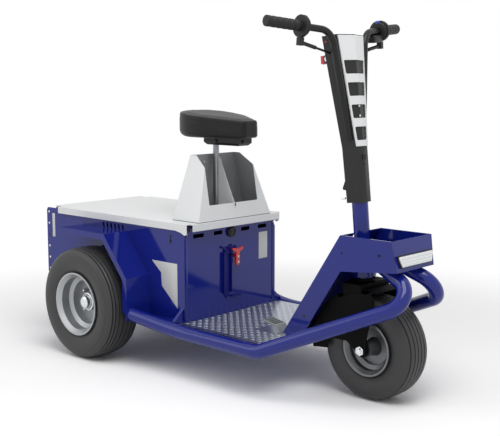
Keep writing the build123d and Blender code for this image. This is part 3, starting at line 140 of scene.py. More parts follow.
# Camera: a long lens ahead of the tractor and to its right, a little above the deck. Its place and aim were
# fitted to the photograph, with the tyres for scale.
LENS_MM, SENSOR_MM = 70.57, 36.0
CAMERA_AT = Vector((2.4409, -2.5177, 1.0068))
CAMERA_BACK = Vector((0.6736, -0.7262, 0.1374))
camera = bpy.data.objects.new("camera", bpy.data.cameras.new("camera"))
camera.data.lens = LENS_MM
camera.data.sensor_width = SENSOR_MM
camera.data.sensor_fit = "HORIZONTAL"
camera.location = CAMERA_AT
camera.rotation_euler = (-CAMERA_BACK).to_track_quat("-Z", "Y").to_euler()
scene.collection.objects.link(camera)
scene.camera = camera

# Frame tubes, cross bars and box: steel tube and folded sheet, welded up and powder coated deep gloss blue. The
# coat flows smooth, so it mirrors the surround, with a faint ripple and edges that take the light.
SHARP = math.radians(32)
CLOUD_SIZE = 0.120
smoothing = bpy.data.node_groups.new("smooth_by_angle", "GeometryNodeTree")
smoothing.interface.new_socket("Geometry", in_out="INPUT", socket_type="NodeSocketGeometry")
smoothing.interface.new_socket("Geometry", in_out="OUTPUT", socket_type="NodeSocketGeometry")
whole = add(smoothing, "NodeGroupInput")
joined = add(smoothing, "GeometryNodeMergeByDistance", {"Distance": 1e-5}, {"Geometry": whole.outputs[0]})
round_faces = add(
    smoothing, "GeometryNodeSetShadeSmooth", {"domain": "FACE", "Shade Smooth": True}, {0: joined.outputs[0]},
)
fold = add(smoothing, "GeometryNodeInputMeshEdgeAngle")
crisp = add(
    smoothing, "FunctionNodeCompare", {"data_type": "FLOAT", "operation": "GREATER_THAN", 1: SHARP},
    {0: fold.outputs[0]},
)
edges_set = add(
    smoothing, "GeometryNodeSetShadeSmooth", {"domain": "EDGE", "Shade Smooth": False},
    {0: round_faces.outputs[0], 1: crisp.outputs[0]},
)
add(smoothing, "NodeGroupOutput", None, {0: edges_set.outputs[0]})


def round_edges(part, width):
    """Round an object's sharp edges by a width in millimetres."""
    edge = part.modifiers.new("edge", "BEVEL")
    edge.width = width / 1000
    edge.segments = 2
    edge.limit_method = "ANGLE"
    edge.angle_limit = SHARP
    edge.harden_normals = True
    edge.use_clamp_overlap = True


def soften(width, *names):
    """Join a solid's triangles, shade its curves smooth and round its sharp edges by a width in millimetres."""
    for name in names:
        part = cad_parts[name]
        part.modifiers.new("smooth", "NODES").node_group = smoothing
        if width:
            round_edges(part, width)


def dress(material, *names):
    """Give CAD nodes a material in place of their plain one."""
    for name in names:
        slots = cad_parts[name].data.materials
        slots.clear()
        slots.append(material)


def plain_finish(name, shade, tint, rough, ripple_mm, ripple, coat=0.5, ior=1.5):
    """Paint, plastic or rubber: two near shades in soft clouds, and its ripple drawn coarse enough to show."""
    made, tree = blank_material(name)
    where = add(tree, "TexCoord")
    cloud = add(tree, "TexNoise", {"Scale": 1 / CLOUD_SIZE, "Detail": 3.0}, {"Vector": where.outputs["Object"]})
    colour = add(tree, "Mix", {"data_type": "RGBA", 6: linear(shade), 7: linear(tint)}, {0: cloud.outputs["Fac"]})
    peel = add(tree, "TexNoise", {"Scale": 1000 / ripple_mm, "Detail": 2.0}, {"Vector": where.outputs["Object"]})
    gloss = add(tree, "MapRange", {3: rough * 0.85, 4: rough * 1.2}, {0: cloud.outputs["Fac"]})
    bump = add(tree, "Bump", {"Strength": ripple, "Distance": 0.001}, {"Height": peel.outputs["Fac"]})
    body = add(
        tree, "BsdfPrincipled",
        {"IOR": ior, "Coat Weight": coat, "Coat Roughness": 0.04},
        {"Base Color": colour.outputs[2], "Roughness": gloss.outputs[0], "Normal": bump.outputs[0]},
    )
    add(tree, "OutputMaterial", None, {"Surface": body.outputs[0]})
    return made


# Gloss powder coat on steel: a deep blue that mirrors the white surround as a pale haze
blue_coat = plain_finish("blue_powder_coat", "#14207c", "#172483", 0.09, 14.0, 0.012, 0.0, 1.45)
dress(blue_coat, "box_shell", "cross_bars", "frame_tube_right", "frame_tube_left")
soften(1.0, "box_shell", "cross_bars")
soften(0.0, "frame_tube_right", "frame_tube_left")

# Millimetres from the rear axle forward to the frame's origin, the middle of the overall length
ROW_MIDDLE = 406.998


def spot(x, y, z):
    """Point from millimetres ahead of the rear axle, to the left of the middle and above the ground."""
    return Vector(((x - ROW_MIDDLE) / 1000, y / 1000, z / 1000))


def piece(name, shape, body, slot, material, *stands_for):
    """Turn a bmesh into a named piece that rides on a body, smooth but for its sharp edges."""
    bmesh.ops.remove_doubles(shape, verts=shape.verts, dist=1e-6)
    bmesh.ops.recalc_face_normals(shape, faces=shape.faces)
    for face in shape.faces:
        face.smooth = True
    for edge in shape.edges:
        edge.smooth = edge.calc_face_angle(0.0) < SHARP
    data = bpy.data.meshes.new(name)
    shape.to_mesh(data)
    shape.free()
    data.materials.append(material)
    made = bpy.data.objects.new(name, data)
    scene.collection.objects.link(made)
    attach(made, body)
    if stands_for:
        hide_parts(*stands_for)
    return made


def turn(shape, outline, root, along, steps=32, closed=False):
    """Spin an outline of millimetres along and out from an axis that starts at root."""
    along = Vector(along).normalized()
    side = along.orthogonal().normalized()
    ring = [shape.verts.new(root + along * u / 1000 + side * r / 1000) for u, r in outline]
    pairs = list(zip(ring, ring[1:])) + ([(ring[-1], ring[0])] if closed else [])
    edges = [shape.edges.new(pair) for pair in pairs]
    bmesh.ops.spin(
        shape, geom=ring + edges, cent=root, axis=along, angle=math.tau, steps=steps, use_merge=True,
    )


def slab(shape, corners, thick, edge_mm=0.0):
    """Plate from its corner points, thickened along a vector of millimetres, with its outer edge rounded."""
    face = shape.faces.new([shape.verts.new(c) for c in corners])
    grown = bmesh.ops.extrude_face_region(shape, geom=[face])["geom"]
    moved = [v for v in grown if isinstance(v, bmesh.types.BMVert)]
    bmesh.ops.translate(shape, vec=Vector(thick) / 1000, verts=moved)
    if edge_mm:
        outer = {e for v in moved for e in v.link_edges if e.other_vert(v) in moved}
        bmesh.ops.bevel(
            shape, geom=list(outer), offset=edge_mm / 1000, affect="EDGES", segments=2, profile=0.5, material=-1,
        )


# Marks on the box: blank white vinyl panels on both side walls, a blank rating plate on the front panel and dark
# drilled holes; the rear edges are riveted, and the front panel is a sheet screwed on over the folded walls.
SIDE_FACE, FRONT_FACE = 232, 421
VINYL_THICK = 0.6
WALL_MARK = ((251, 379.5), (382.5, 380), (383, 222), (302, 293), (299.5, 339.5))
# Cut vinyl film: a flat greyish white with no mirror image
white_vinyl = plain_finish("white_vinyl", "#c9cac8", "#cfd0ce", 0.45, 5.0, 0.02, 0.2)
for side, out in (("right", -1), ("left", 1)):
    shape = bmesh.new()
    slab(shape, [spot(x, out * SIDE_FACE, z) for x, z in WALL_MARK], (0, out * VINYL_THICK, 0), 0.2)
    piece(f"wall_mark_{side}", shape, "chassis", "white_paint", white_vinyl)
EDGE_STRIP = ((-338, 401), (-322, 401), (-322, 494), (-338, 494))
shape = bmesh.new()
for out in (-1, 1):
    slab(shape, [spot(x, out * SIDE_FACE, z) for x, z in EDGE_STRIP], (0, out * VINYL_THICK, 0), 0.2)
piece("edge_strips", shape, "chassis", "white_paint", white_vinyl)
RATING_PLATE = ((146, 354), (193, 354), (193, 454), (146, 454))
shape = bmesh.new()
slab(shape, [spot(FRONT_FACE, y, z) for y, z in RATING_PLATE], (0.8, 0, 0), 0.3)
piece("rating_plate", shape, "chassis", "white_paint", white_vinyl)

# Unlit hollow: a near black that shows a hole, slot or seam as an opening
void = plain_finish("dark_opening", "#050506", "#08080a", 0.8, 3.0, 0.05, 0.0)


def drilled(shape, place, along, r):
    """Dark disc of a drilled hole, a hair proud of its sheet."""
    turn(shape, ((-0.4, 0), (-0.4, r), (0.15, r), (0.15, 0)), place, along, 16)


# Columns: x and z of a hole in the side wall, radius
WALL_HOLES = ((-259, 488, 3.2), (-204, 487, 3.2), (-135, 474, 3.2), (350, 456, 6.2), (-360, 407, 5.0))
KEYHOLE_SLOT = ((346.6, 456), (353.4, 456), (353.4, 480), (346.6, 480))
shape = bmesh.new()
for out in (-1, 1):
    for x, z, r in WALL_HOLES:
        drilled(shape, spot(x, out * SIDE_FACE, z), (0, out, 0), r)
    slab(shape, [spot(x, out * (SIDE_FACE - 0.4), z) for x, z in KEYHOLE_SLOT], (0, out * 0.55, 0))
for y, z in ((6, 258), (-214, 200), (214, 200)):
    drilled(shape, spot(FRONT_FACE, y, z), (1, 0, 0), 3.4)
piece("box_holes", shape, "chassis", "black_plastic", void)


def plated(name, shade, tint, rough, grain_mm, grain=0.03):
    """Bright metal: two near shades in a fine grain that also varies its gloss."""
    made, tree = blank_material(name)
    where = add(tree, "TexCoord")
    cloud = add(tree, "TexNoise", {"Scale": 1000 / grain_mm, "Detail": 4.0}, {"Vector": where.outputs["Object"]})
    colour = add(tree, "Mix", {"data_type": "RGBA", 6: linear(shade), 7: linear(tint)}, {0: cloud.outputs["Fac"]})
    gloss = add(tree, "MapRange", {3: rough * 0.7, 4: rough * 1.3}, {0: cloud.outputs["Fac"]})
    bump = add(tree, "Bump", {"Strength": grain, "Distance": 0.001}, {"Height": cloud.outputs["Fac"]})
    body = add(
        tree, "BsdfPrincipled", {"Metallic": 1.0},
        {"Base Color": colour.outputs[2], "Roughness": gloss.outputs[0], "Normal": bump.outputs[0]},
    )
    add(tree, "OutputMaterial", None, {"Surface": body.outputs[0]})
    return made


# Bright zinc plate: a pale metal with a soft, slightly uneven shine
zinc = plated("zinc_plate", "#c3c6c9", "#d4d6d8", 0.28, 9.0)
RIVET_X, RIVET_LOW, RIVET_STEP = -360, 270.6, 45.5
RIVET = ((0, 0), (0, 4.6), (0.6, 4.4), (1.4, 3.2), (1.8, 1.2), (1.9, 0))
shape = bmesh.new()
for out in (-1, 1):
    for i in (0, 1, 2, 4, 5):
        z = RIVET_LOW + RIVET_STEP * i
        turn(shape, RIVET, spot(RIVET_X, out * SIDE_FACE, z), (0, out, 0), 16)
        turn(shape, RIVET, spot(RIVET_X, out * 229, z), (0, -out, 0), 16)
piece("cheek_rivets", shape, "chassis", "zinc_steel", zinc)

PANEL_LIP = ((232.2, 184), (235.0, 184), (235.0, 470), (223.0, 486), (220.0, 486), (220.0, 184))
shape = bmesh.new()
for out in (-1, 1):
    slab(shape, [spot(FRONT_FACE, out * y, z) for y, z in PANEL_LIP], (2.2, 0, 0), 0.7)
piece("front_panel_lips", shape, "chassis", "blue_paint", blue_coat)

# Battery and transaxle: a moulded case in the box, and a cast drive housing with axle tubes between the rear
# wheels, both dark, seen only from below and with the lid up.
CELL_CAP = ((0, 0), (0, 13), (7, 12.5), (9, 10), (9, 0))
# Moulded plastic: a dull dark grey
case_plastic = plain_finish("moulded_battery_case", "#3a3b3e", "#424346", 0.55, 4.0, 0.15, 0.0)
dress(case_plastic, "battery")
soften(3.0, "battery")
# Painted casting: nearly black and rough
cast_iron = plain_finish("painted_casting", "#2a2b2d", "#38393b", 0.6, 6.0, 0.5, 0.0)
dress(cast_iron, "transaxle")
soften(2.0, "transaxle")
shape = bmesh.new()
for x in (278, 368):
    for y in (-150, -90, -30, 30, 90, 150):
        turn(shape, CELL_CAP, spot(x, y, 415), (0, 0, 1), 20)
piece("cell_caps", shape, "chassis", "battery_case", case_plastic)

# Rear wheels: black rubber road tyres with plain ribs round the tread, on pressed steel rims painted silver, each
# held by four chromed nuts round a chromed hub cap.
REAR_HUB_OUT, REAR_CROWN, REAR_DROP, REAR_GROOVES = 314, 204.0, 10.0, (57, 46, 31, 10)
GROOVE, GROOVE_FLOOR, GROOVE_DEEP = 2.1, 1.3, 5.0
# Tyre rubber: a matt dark grey with a broad sheen on its round shoulders
rubber = plain_finish("tyre_rubber", "#2e2e2f", "#383839", 0.5, 5.0, 0.2, 0.0)
# Silver paint: metal flake that takes the light softly, without a mirror image
silver = plated("silver_rim_paint", "#a6a8aa", "#b2b4b6", 0.46, 40.0, 0.01)
# Chrome plate: bright, with sharp reflections
chrome = plated("chrome_plate", "#d8dadc", "#e4e6e8", 0.1, 20.0, 0.01)
# Half sections of the tyres: millimetres from the middle plane, radius
REAR_WALL = (
    (0, 101.9), (58, 101.9), (61, 103.2), (61.7, 108), (61.7, 116), (63.2, 119.5), (64.4, 121), (65.2, 123.4),
    (66.6, 124), (70.4, 134), (73.2, 146), (74, 158), (73.4, 169), (72.6, 173.4), (71.4, 174), (70.6, 179),
    (68, 187), (64.5, 192.5),
)
FRONT_WALL = (
    (0, 76.5), (43, 76.5), (45, 77.5), (45.7, 82), (45.7, 90), (47, 93), (48.4, 94.4), (49.4, 96.6),
    (50.6, 97), (55, 104), (59, 113), (60.8, 122), (61, 130), (60.4, 137), (59.4, 138), (58.4, 145),
    (55.5, 152), (51.5, 157),
)


def tyre(name, node, wall, crown, drop, grooves, hub, body):
    """Closed ring of one wall, a ribbed tread and the wall mirrored, spun about the axle."""
    def top(u):
        return crown - drop * (u / wall[-1][0]) ** 4

    half = list(wall)
    for u in grooves:
        low = top(u) - GROOVE_DEEP
        half += [(u + GROOVE, top(u + GROOVE)), (u + GROOVE_FLOOR, low)]
        half += [(u - GROOVE_FLOOR, low), (u - GROOVE, top(u - GROOVE))]
    half.append((0, crown))
    shape = bmesh.new()
    turn(shape, half + [(-u, r) for u, r in reversed(half[1:-1])], hub, (0, 1, 0), 120, True)
    piece(name, shape, body, "tyre_rubber", rubber, node)


HUB_CAP = ((14.1, 0), (14.1, 24), (20, 23.4), (33, 22.6), (36, 19), (38, 12), (38.6, 0))
HUB_RING = ((14.1, 33.5), (16, 33), (17.2, 31), (17.2, 29), (15.5, 27), (14.1, 26.5))
NUT_DOME = ((1.8, 0), (1.8, 6.6), (5, 6.2), (7.6, 4.2), (8.6, 0))
NUT_CIRCLE, VALVE_CIRCLE = 0.05, 0.074
VALVE = ((-12, 0), (-12, 4.5), (-2, 4), (2, 3), (14, 3), (14.5, 2.4), (14.5, 0))
for side, out in (("right", -1), ("left", 1)):
    hub, body = spot(0, out * REAR_HUB_OUT, REAR_CROWN), f"rear_wheel_{side}"
    tyre(
        f"rear_tyre_ribbed_{side}", f"rear_tyre_{side}", REAR_WALL, REAR_CROWN, REAR_DROP, REAR_GROOVES, hub, body,
    )
    shape = bmesh.new()
    turn(shape, HUB_CAP, hub, (0, out, 0), 40)
    turn(shape, HUB_RING, hub, (0, out, 0), 40, True)
    for k in range(4):
        angle = math.radians(45 + 90 * k)
        turn(shape, NUT_DOME, hub + Vector((math.cos(angle), 0, math.sin(angle))) * NUT_CIRCLE, (0, out, 0), 18)
    piece(f"rear_hub_cap_{side}", shape, body, "rim_silver", chrome)
    shape = bmesh.new()
    turn(shape, VALVE, hub + Vector((VALVE_CIRCLE, 0, 0)), (0, out, 0), 14)
    piece(f"rear_valve_{side}", shape, body, "tyre_rubber", rubber)
dress(silver, "rear_rim_right", "rear_rim_left")
soften(0.8, "rear_rim_right", "rear_rim_left")

# Rear guards: folded sheet over the wheels, running down to a step plate on each side, welded to the box and
# coated blue with it.
dress(blue_coat, "rear_guard_right", "rear_guard_left")
soften(0.9, "rear_guard_right", "rear_guard_left")

# Floor: a tread plate of rolled aluminium with raised bars in two directions, screwed to the cross bars, with a
# bent steel pedal on the rider's right.
PLATE_TOP, BAR_PITCH, BAR_FROM, BAR_ROWS, BAR_HALF_ROWS = 177.0, 15.5, 432, 26, 16
BAR_FOOT, BAR_TOP, BAR_RISE, BAR_SLIM = 0.0080, 0.0066, 0.0011, 0.3
FLOOR_EDGE, CORNER_FROM, CORNER_SLOPE = 246, 776, 1.04
PEDAL_X, PEDAL_Y = (664, 770), (-132, -52)
# Rolled aluminium: bright and even, so the bars show by the light on their slopes; its faint blue tint is a painted
# reflection of the blue box
bright_plate = plated("rolled_aluminium", "#9ba0ab", "#abafb9", 0.3, 14.0, 0.03)
dress(bright_plate, "floor_plate")
soften(0.6, "floor_plate")
shape = bmesh.new()
for i in range(BAR_ROWS):
    for j in range(-BAR_HALF_ROWS, BAR_HALF_ROWS + 1):
        x, y = BAR_FROM + BAR_PITCH * i, BAR_PITCH * j
        under_pedal = PEDAL_X[0] < x < PEDAL_X[1] and PEDAL_Y[0] < y < PEDAL_Y[1]
        if under_pedal or abs(y) > FLOOR_EDGE - max(0, x - CORNER_FROM) * CORNER_SLOPE:
            continue
        turned = Matrix.Rotation(math.radians(45 if (i + j) % 2 else -45), 4, "Z")
        bmesh.ops.create_cone(
            shape, cap_ends=True, segments=8, radius1=BAR_FOOT, radius2=BAR_TOP, depth=BAR_RISE,
            matrix=Matrix.Translation(spot(x, y, PLATE_TOP + 0.35)) @ turned @ Matrix.Diagonal((1, BAR_SLIM, 1, 1)),
        )
piece("tread_bars", shape, "chassis", "checker_plate", bright_plate)
# Worn zinc plate: a greyer metal with a wide, weak shine
dull_zinc = plated("dull_zinc", "#8c8f92", "#9a9c9f", 0.42, 30.0, 0.02)
dress(dull_zinc, "pedal")
soften(1.5, "pedal")
# Pedal pad: a mid grey rubber, dusty with use
pad_rubber = plain_finish("pedal_pad_rubber", "#56575a", "#626366", 0.6, 4.0, 0.2, 0.0)


def land(node, start, along):
    """Point where a line from start first meets a CAD node."""
    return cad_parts[node].ray_cast(start, Vector(along).normalized())[1]


RIB_FROM, RIB_PITCH, RIB_WIDE, RIB_INSET = 0.010, 0.0125, 0.006, 0.005
low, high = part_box("pedal")
shape = bmesh.new()
for k in range(4):
    x, right, left = low[0] + RIB_FROM + RIB_PITCH * k, low[1] + RIB_INSET, high[1] - RIB_INSET
    rib = ((x, right), (x + RIB_WIDE, right), (x + RIB_WIDE, left), (x, left))
    slab(shape, [land("pedal", Vector((*p, 0.3)), (0, 0, -1)) for p in rib], (0, 0, 2.2), 0.6)
piece("pedal_ribs", shape, "chassis", "black_plastic", pad_rubber)

# Fittings on the front panel: a blue folded channel with a red release lever beside it, a round black socket, and
# two black rubber latches that hold the lid down.
LATCH_BLOCK = ((218, 497), (232, 497), (232, 516), (218, 516))
LATCH_STRAP = ((222, 474), (228, 474), (228, 498), (222, 498))
# The same blue powder coat painted darker and satin, with no mirror image: painted shade. The lever channel wears
# it, and so does the leg shield under the head.
shaded_blue_coat = plain_finish("blue_powder_coat_painted_shade", "#0b1266", "#0e166e", 0.3, 14.0, 0.02, 0.0, 1.25)
dress(shaded_blue_coat, "lever_channel")
soften(0.8, "lever_channel")
# Dipped coating: a clear red with a soft shine
red_coat = plain_finish("red_dip_coating", "#c2131c", "#cf1620", 0.35, 6.0, 0.05, 0.5)
dress(red_coat, "tow_lever")
soften(1.5, "tow_lever")
# Grained black moulding: dark, with a broken, low shine
moulded = plain_finish("black_moulding", "#141415", "#1a1b1c", 0.46, 4.0, 0.15, 0.0, 1.42)
dress(moulded, "socket_plug")
soften(1.2, "socket_plug")
shape = bmesh.new()
for out in (-1, 1):
    slab(shape, [spot(FRONT_FACE, out * y, z) for y, z in LATCH_BLOCK], (15.5, 0, 0), 2.0)
    slab(shape, [spot(FRONT_FACE, out * y, z) for y, z in LATCH_STRAP], (2.0, 0, 0), 0.6)
piece("latch_blocks", shape, "chassis", "black_plastic", moulded, "lid_latches")
SCREW = ((0, 0), (0, 4.2), (1.2, 3.9), (2.2, 2.6), (2.6, 0))
shape = bmesh.new()
for y, z in ((13, 382), (13, 362)):
    turn(shape, SCREW, spot(443, y, z), (1, 0, 0), 18)
for y in (-225, 225):
    turn(shape, SCREW, spot(423, y, 487), (1, 0, 0), 18)
piece("panel_screws", shape, "chassis", "zinc_steel", zinc)
SOCKET_RIM = ((9.0, 14), (9.0, 17.5), (10.6, 17.2), (11.4, 15.6), (10.4, 14))
SOCKET_PIN = ((9.0, 0), (9.0, 5), (10.5, 5), (10.5, 0))
shape = bmesh.new()
turn(shape, SOCKET_RIM, spot(FRONT_FACE, -4, 473), (1, 0, 0), 40, True)
turn(shape, SOCKET_PIN, spot(FRONT_FACE, -4, 473), (1, 0, 0), 24)
piece("socket_rim", shape, "chassis", "black_plastic", moulded)

# Deck lid and seat tower: folded sheet, coated satin white, hinged at the rear edge of the box on steel pins; the
# tower is open in front and carries the seat post.
GUSSET = ((356.5, 744), (364, 738), (436, 580), (436, 526), (356.5, 526))
CLIP = ((-2.5, -5), (2.5, -5), (2.5, 5), (-2.5, 5))
# Satin powder coat: white, with only a blurred shine
white_coat = plain_finish("white_powder_coat", "#dcdedf", "#e3e5e6", 0.38, 7.0, 0.03, 0.3)
dress(white_coat, "lid")
# White outside and a painted grey shade inside, so that the mouth reads dark: the white stops at the sheet's inner
# face, which is found from the tower's taper, each value given at the foot and at the top
TOWER_Z, INSIDE_HALF = (0.5235, 0.750), (0.1838, 0.1098)
INSIDE_BACK, INSIDE_FRONT = (-0.0958, -0.0798), (0.0358, -0.0022)
tower_coat, tree = blank_material("white_coat_painted_shade_inside")
where = add(tree, "TexCoord")
axes = add(tree, "SeparateXYZ", None, {0: where.outputs["Object"]})
taper = {1: TOWER_Z[0], 2: TOWER_Z[1]}
half = add(tree, "MapRange", {**taper, 3: INSIDE_HALF[0], 4: INSIDE_HALF[1]}, {0: axes.outputs["Z"]})
back = add(tree, "MapRange", {**taper, 3: INSIDE_BACK[0], 4: INSIDE_BACK[1]}, {0: axes.outputs["Z"]})
front = add(tree, "MapRange", {**taper, 3: INSIDE_FRONT[0], 4: INSIDE_FRONT[1]}, {0: axes.outputs["Z"]})
aside = add(tree, "Math", {"operation": "ABSOLUTE"}, {0: axes.outputs["Y"]})
within = add(tree, "Math", {"operation": "LESS_THAN"}, {0: aside.outputs[0], 1: half.outputs[0]})
ahead = add(tree, "Math", {"operation": "GREATER_THAN"}, {0: axes.outputs["X"], 1: back.outputs[0]})
behind = add(tree, "Math", {"operation": "LESS_THAN"}, {0: axes.outputs["X"], 1: front.outputs[0]})
inside = add(tree, "Math", {"operation": "MULTIPLY"}, {0: within.outputs[0], 1: ahead.outputs[0]})
inside = add(tree, "Math", {"operation": "MULTIPLY"}, {0: inside.outputs[0], 1: behind.outputs[0]})
cloud = add(tree, "TexNoise", {"Scale": 1 / CLOUD_SIZE, "Detail": 3.0}, {"Vector": where.outputs["Object"]})
outer = add(
    tree, "Mix", {"data_type": "RGBA", 6: linear("#dcdedf"), 7: linear("#e3e5e6")}, {0: cloud.outputs["Fac"]},
)
inside_shade = add(
    tree, "Mix", {"data_type": "RGBA", 6: linear("#979899"), 7: linear("#9fa0a1")}, {0: cloud.outputs["Fac"]},
)
colour = add(
    tree, "Mix", {"data_type": "RGBA"}, {0: inside.outputs[0], 6: outer.outputs[2], 7: inside_shade.outputs[2]},
)
gloss = add(tree, "MapRange", {3: 0.33, 4: 0.46}, {0: cloud.outputs["Fac"]})
peel = add(tree, "TexNoise", {"Scale": 1000 / 7.0, "Detail": 2.0}, {"Vector": where.outputs["Object"]})
bump = add(tree, "Bump", {"Strength": 0.03, "Distance": 0.001}, {"Height": peel.outputs["Fac"]})
body = add(
    tree, "BsdfPrincipled", {"IOR": 1.5, "Coat Weight": 0.2, "Coat Roughness": 0.1},
    {"Base Color": colour.outputs[2], "Roughness": gloss.outputs[0], "Normal": bump.outputs[0]},
)
add(tree, "OutputMaterial", None, {"Surface": body.outputs[0]})
soften(1.6, "lid")
# Two bright zinc clips on the inner face of the tower's back wall stand for light showing through two slots there:
# painted light
shape = bmesh.new()
for y in (-39.4, 44.4):
    place = land("seat_tower", spot(420, y, 722), (-1, 0, 0))
    slab(shape, [place + Vector((-0.0004, a / 1000, b / 1000)) for a, b in CLIP], (0.9, 0, 0), 0.3)
piece("tower_slot_light_clips", shape, "lid", "zinc_steel", zinc)
# The tower's solid keeps a strip under 1 mm high across the top of its mouth, which the real sheet lacks
STRIP_LOW, STRIP_HIGH, STRIP_LONG = 0.7055, 0.7120, 0.2
shape = bmesh.new()
shape.from_mesh(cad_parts["seat_tower"].data)
bmesh.ops.remove_doubles(shape, verts=shape.verts, dist=1e-5)
strip = []
for face in shape.faces:
    across = [v.co.y for v in face.verts]
    level = all(STRIP_LOW < v.co.z < STRIP_HIGH for v in face.verts)
    if level and max(across) - min(across) > STRIP_LONG:
        strip.append(face)
bmesh.ops.delete(shape, geom=strip, context="FACES")
bmesh.ops.holes_fill(shape, edges=[e for e in shape.edges if e.is_boundary], sides=0)
round_edges(piece("tower_sheet", shape, "lid", "white_paint", tower_coat, "seat_tower"), 1.6)
dress(zinc, "hinge_pins")
soften(0.5, "hinge_pins")
MOUTH_SLIT = ((440, -1), (443, -1), (443, 1), (440, 1))
# Columns: x and y of two opposite corners of each dark seam round the tower's foot
FOOT_SEAMS = (
    ((310, -185.6), (444, -184.8)), ((310, 184.8), (444, 185.6)),
    ((443.6, -185), (444.4, 185)), ((309.6, -185), (310.4, 185)),
)
shape = bmesh.new()
slab(shape, [spot(x, y, 567) for x, y in MOUTH_SLIT], (0, 0, 11))
for low, high in FOOT_SEAMS:
    foot = [spot(x, y, 523.4) for x, y in (low, (high[0], low[1]), high, (low[0], high[1]))]
    slab(shape, foot, (0, 0, 1.5))
piece("tower_slit", shape, "lid", "black_plastic", void)
shape = bmesh.new()
slab(shape, [spot(x, -1, z) for x, z in GUSSET], (0, 2, 0))
piece("tower_gusset", shape, "lid", "white_paint", white_coat)

# Seat: a saddle of foam under black grained vinyl, on a black bracket with a grey tube post. The cover is swollen
# from the inside by a cloth run, with its base held flat on the bracket, and then gets its sewn line.
SEAT_BASE, SEAT_VOXEL, SEAT_SWELL, SEAT_CRISP = 812.0, 0.004, 0.0035, 0.012
SEAT_SHRINK, SMOOTH_ABOVE, HELD_BELOW = (0.994, 0.992, 1.0), 0.012, 0.006
SEAT_MIDDLE, SEAT_NOSE, SEAT_ROUND, NOSE_HALF = 335.0, 520.0, 125.0, 37.0
HEEL_ROUND, NOSE_ROUND = 28.0, 7.0
SEAT_REAR, SEAT_LONG, RIM_REAR, RIM_DROP = 210.0, 310.0, 0.9035, 0.0335
SEAM_BELOW, SEAM_WIDE, SEAM_DEEP = 0.015, 0.003, 0.0010
CREASE_WIDE, CREASE_DEEP = 0.0045, 0.0022
CLOTH_PRESSURE, CLOTH_FRAMES, SWELL_ROUNDS = 4.0, 20, 12
BRACKET_SCREW = ((0, 0), (0, 7), (3, 6.6), (5, 4.4), (5.6, 0))
# Satin powder coat: black, with a soft shine on its edges
black_coat = plain_finish("black_powder_coat", "#0b0b0c", "#101011", 0.34, 8.0, 0.04, 0.0, 1.4)
dress(black_coat, "seat_bracket")
soften(1.5, "seat_bracket")
dress(dull_zinc, "seat_post")
soften(0.6, "seat_post")
shape = bmesh.new()
turn(shape, BRACKET_SCREW, spot(489.5, -10, 799), (1, 0, 0), 24)
turn(shape, BRACKET_SCREW, spot(380, -35, 798), (0, -1, 0), 24)
turn(shape, BRACKET_SCREW, spot(380, 35, 798), (0, 1, 0), 24)
piece("bracket_knobs", shape, "lid", "black_paint", black_coat)
BRACKET_NUT = ((0, 0), (0, 8), (8, 8), (9, 7), (9, 0))
POST_FOOT = ((0, 11.2), (0, 17), (14, 17), (15, 16), (15, 11.2))
shape = bmesh.new()
turn(shape, BRACKET_NUT, spot(316.5, -20, 798), (-1, 0, 0), 6)
turn(shape, BRACKET_NUT, spot(316.5, 20, 798), (-1, 0, 0), 6)
turn(shape, POST_FOOT, spot(345, 0, 523.5), (0, 0, 1), 32, True)
piece("post_fixings", shape, "lid", "zinc_steel", zinc)

# Vinyl over foam: a soft black with a fine grain and a dull sheen on its rim
vinyl, tree = blank_material("grained_vinyl")
where = add(tree, "TexCoord")
# Leather-cloth grain is about 1 mm; it is drawn at 2.5 mm so that it shows
grain = add(tree, "TexVoronoi", {"Scale": 400.0, "feature": "DISTANCE_TO_EDGE"}, {"Vector": where.outputs["Object"]})
cloud = add(tree, "TexNoise", {"Scale": 14.0, "Detail": 3.0}, {"Vector": where.outputs["Object"]})
colour = add(
    tree, "Mix", {"data_type": "RGBA", 6: linear("#0d0d0e"), 7: linear("#131314")}, {0: cloud.outputs["Fac"]},
)
gloss = add(tree, "MapRange", {3: 0.4, 4: 0.52}, {0: cloud.outputs["Fac"]})
bump = add(tree, "Bump", {"Strength": 0.12, "Distance": 0.0006}, {"Height": grain.outputs["Distance"]})
skin = add(
    tree, "BsdfPrincipled", {"IOR": 1.36, "Sheen Weight": 0.02},
    {"Base Color": colour.outputs[2], "Roughness": gloss.outputs[0], "Normal": bump.outputs[0]},
)
add(tree, "OutputMaterial", None, {"Surface": skin.outputs[0]})

shape = bmesh.new()
shape.from_mesh(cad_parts["seat"].data)
bmesh.ops.remove_doubles(shape, verts=shape.verts, dist=1e-5)
middle = spot(350, 0, SEAT_BASE)
bmesh.ops.scale(shape, vec=SEAT_SHRINK, verts=shape.verts, space=Matrix.Translation(-middle))
data = bpy.data.meshes.new("seat_core")
shape.to_mesh(data)
shape.free()
core = bpy.data.objects.new("seat_core", data)
scene.collection.objects.link(core)
voxels = core.modifiers.new("voxels", "REMESH")
voxels.mode = "VOXEL"
voxels.voxel_size = SEAT_VOXEL
graph = bpy.context.evaluated_depsgraph_get()
cover = bpy.data.meshes.new_from_object(core.evaluated_get(graph), depsgraph=graph)
bpy.data.objects.remove(core)
base = SEAT_BASE / 1000
shape = bmesh.new()
shape.from_mesh(cover)
bmesh.ops.smooth_vert(
    shape, verts=[v for v in shape.verts if v.co.z > base + SMOOTH_ABOVE], factor=0.5,
    use_axis_x=True, use_axis_y=True, use_axis_z=True,
)
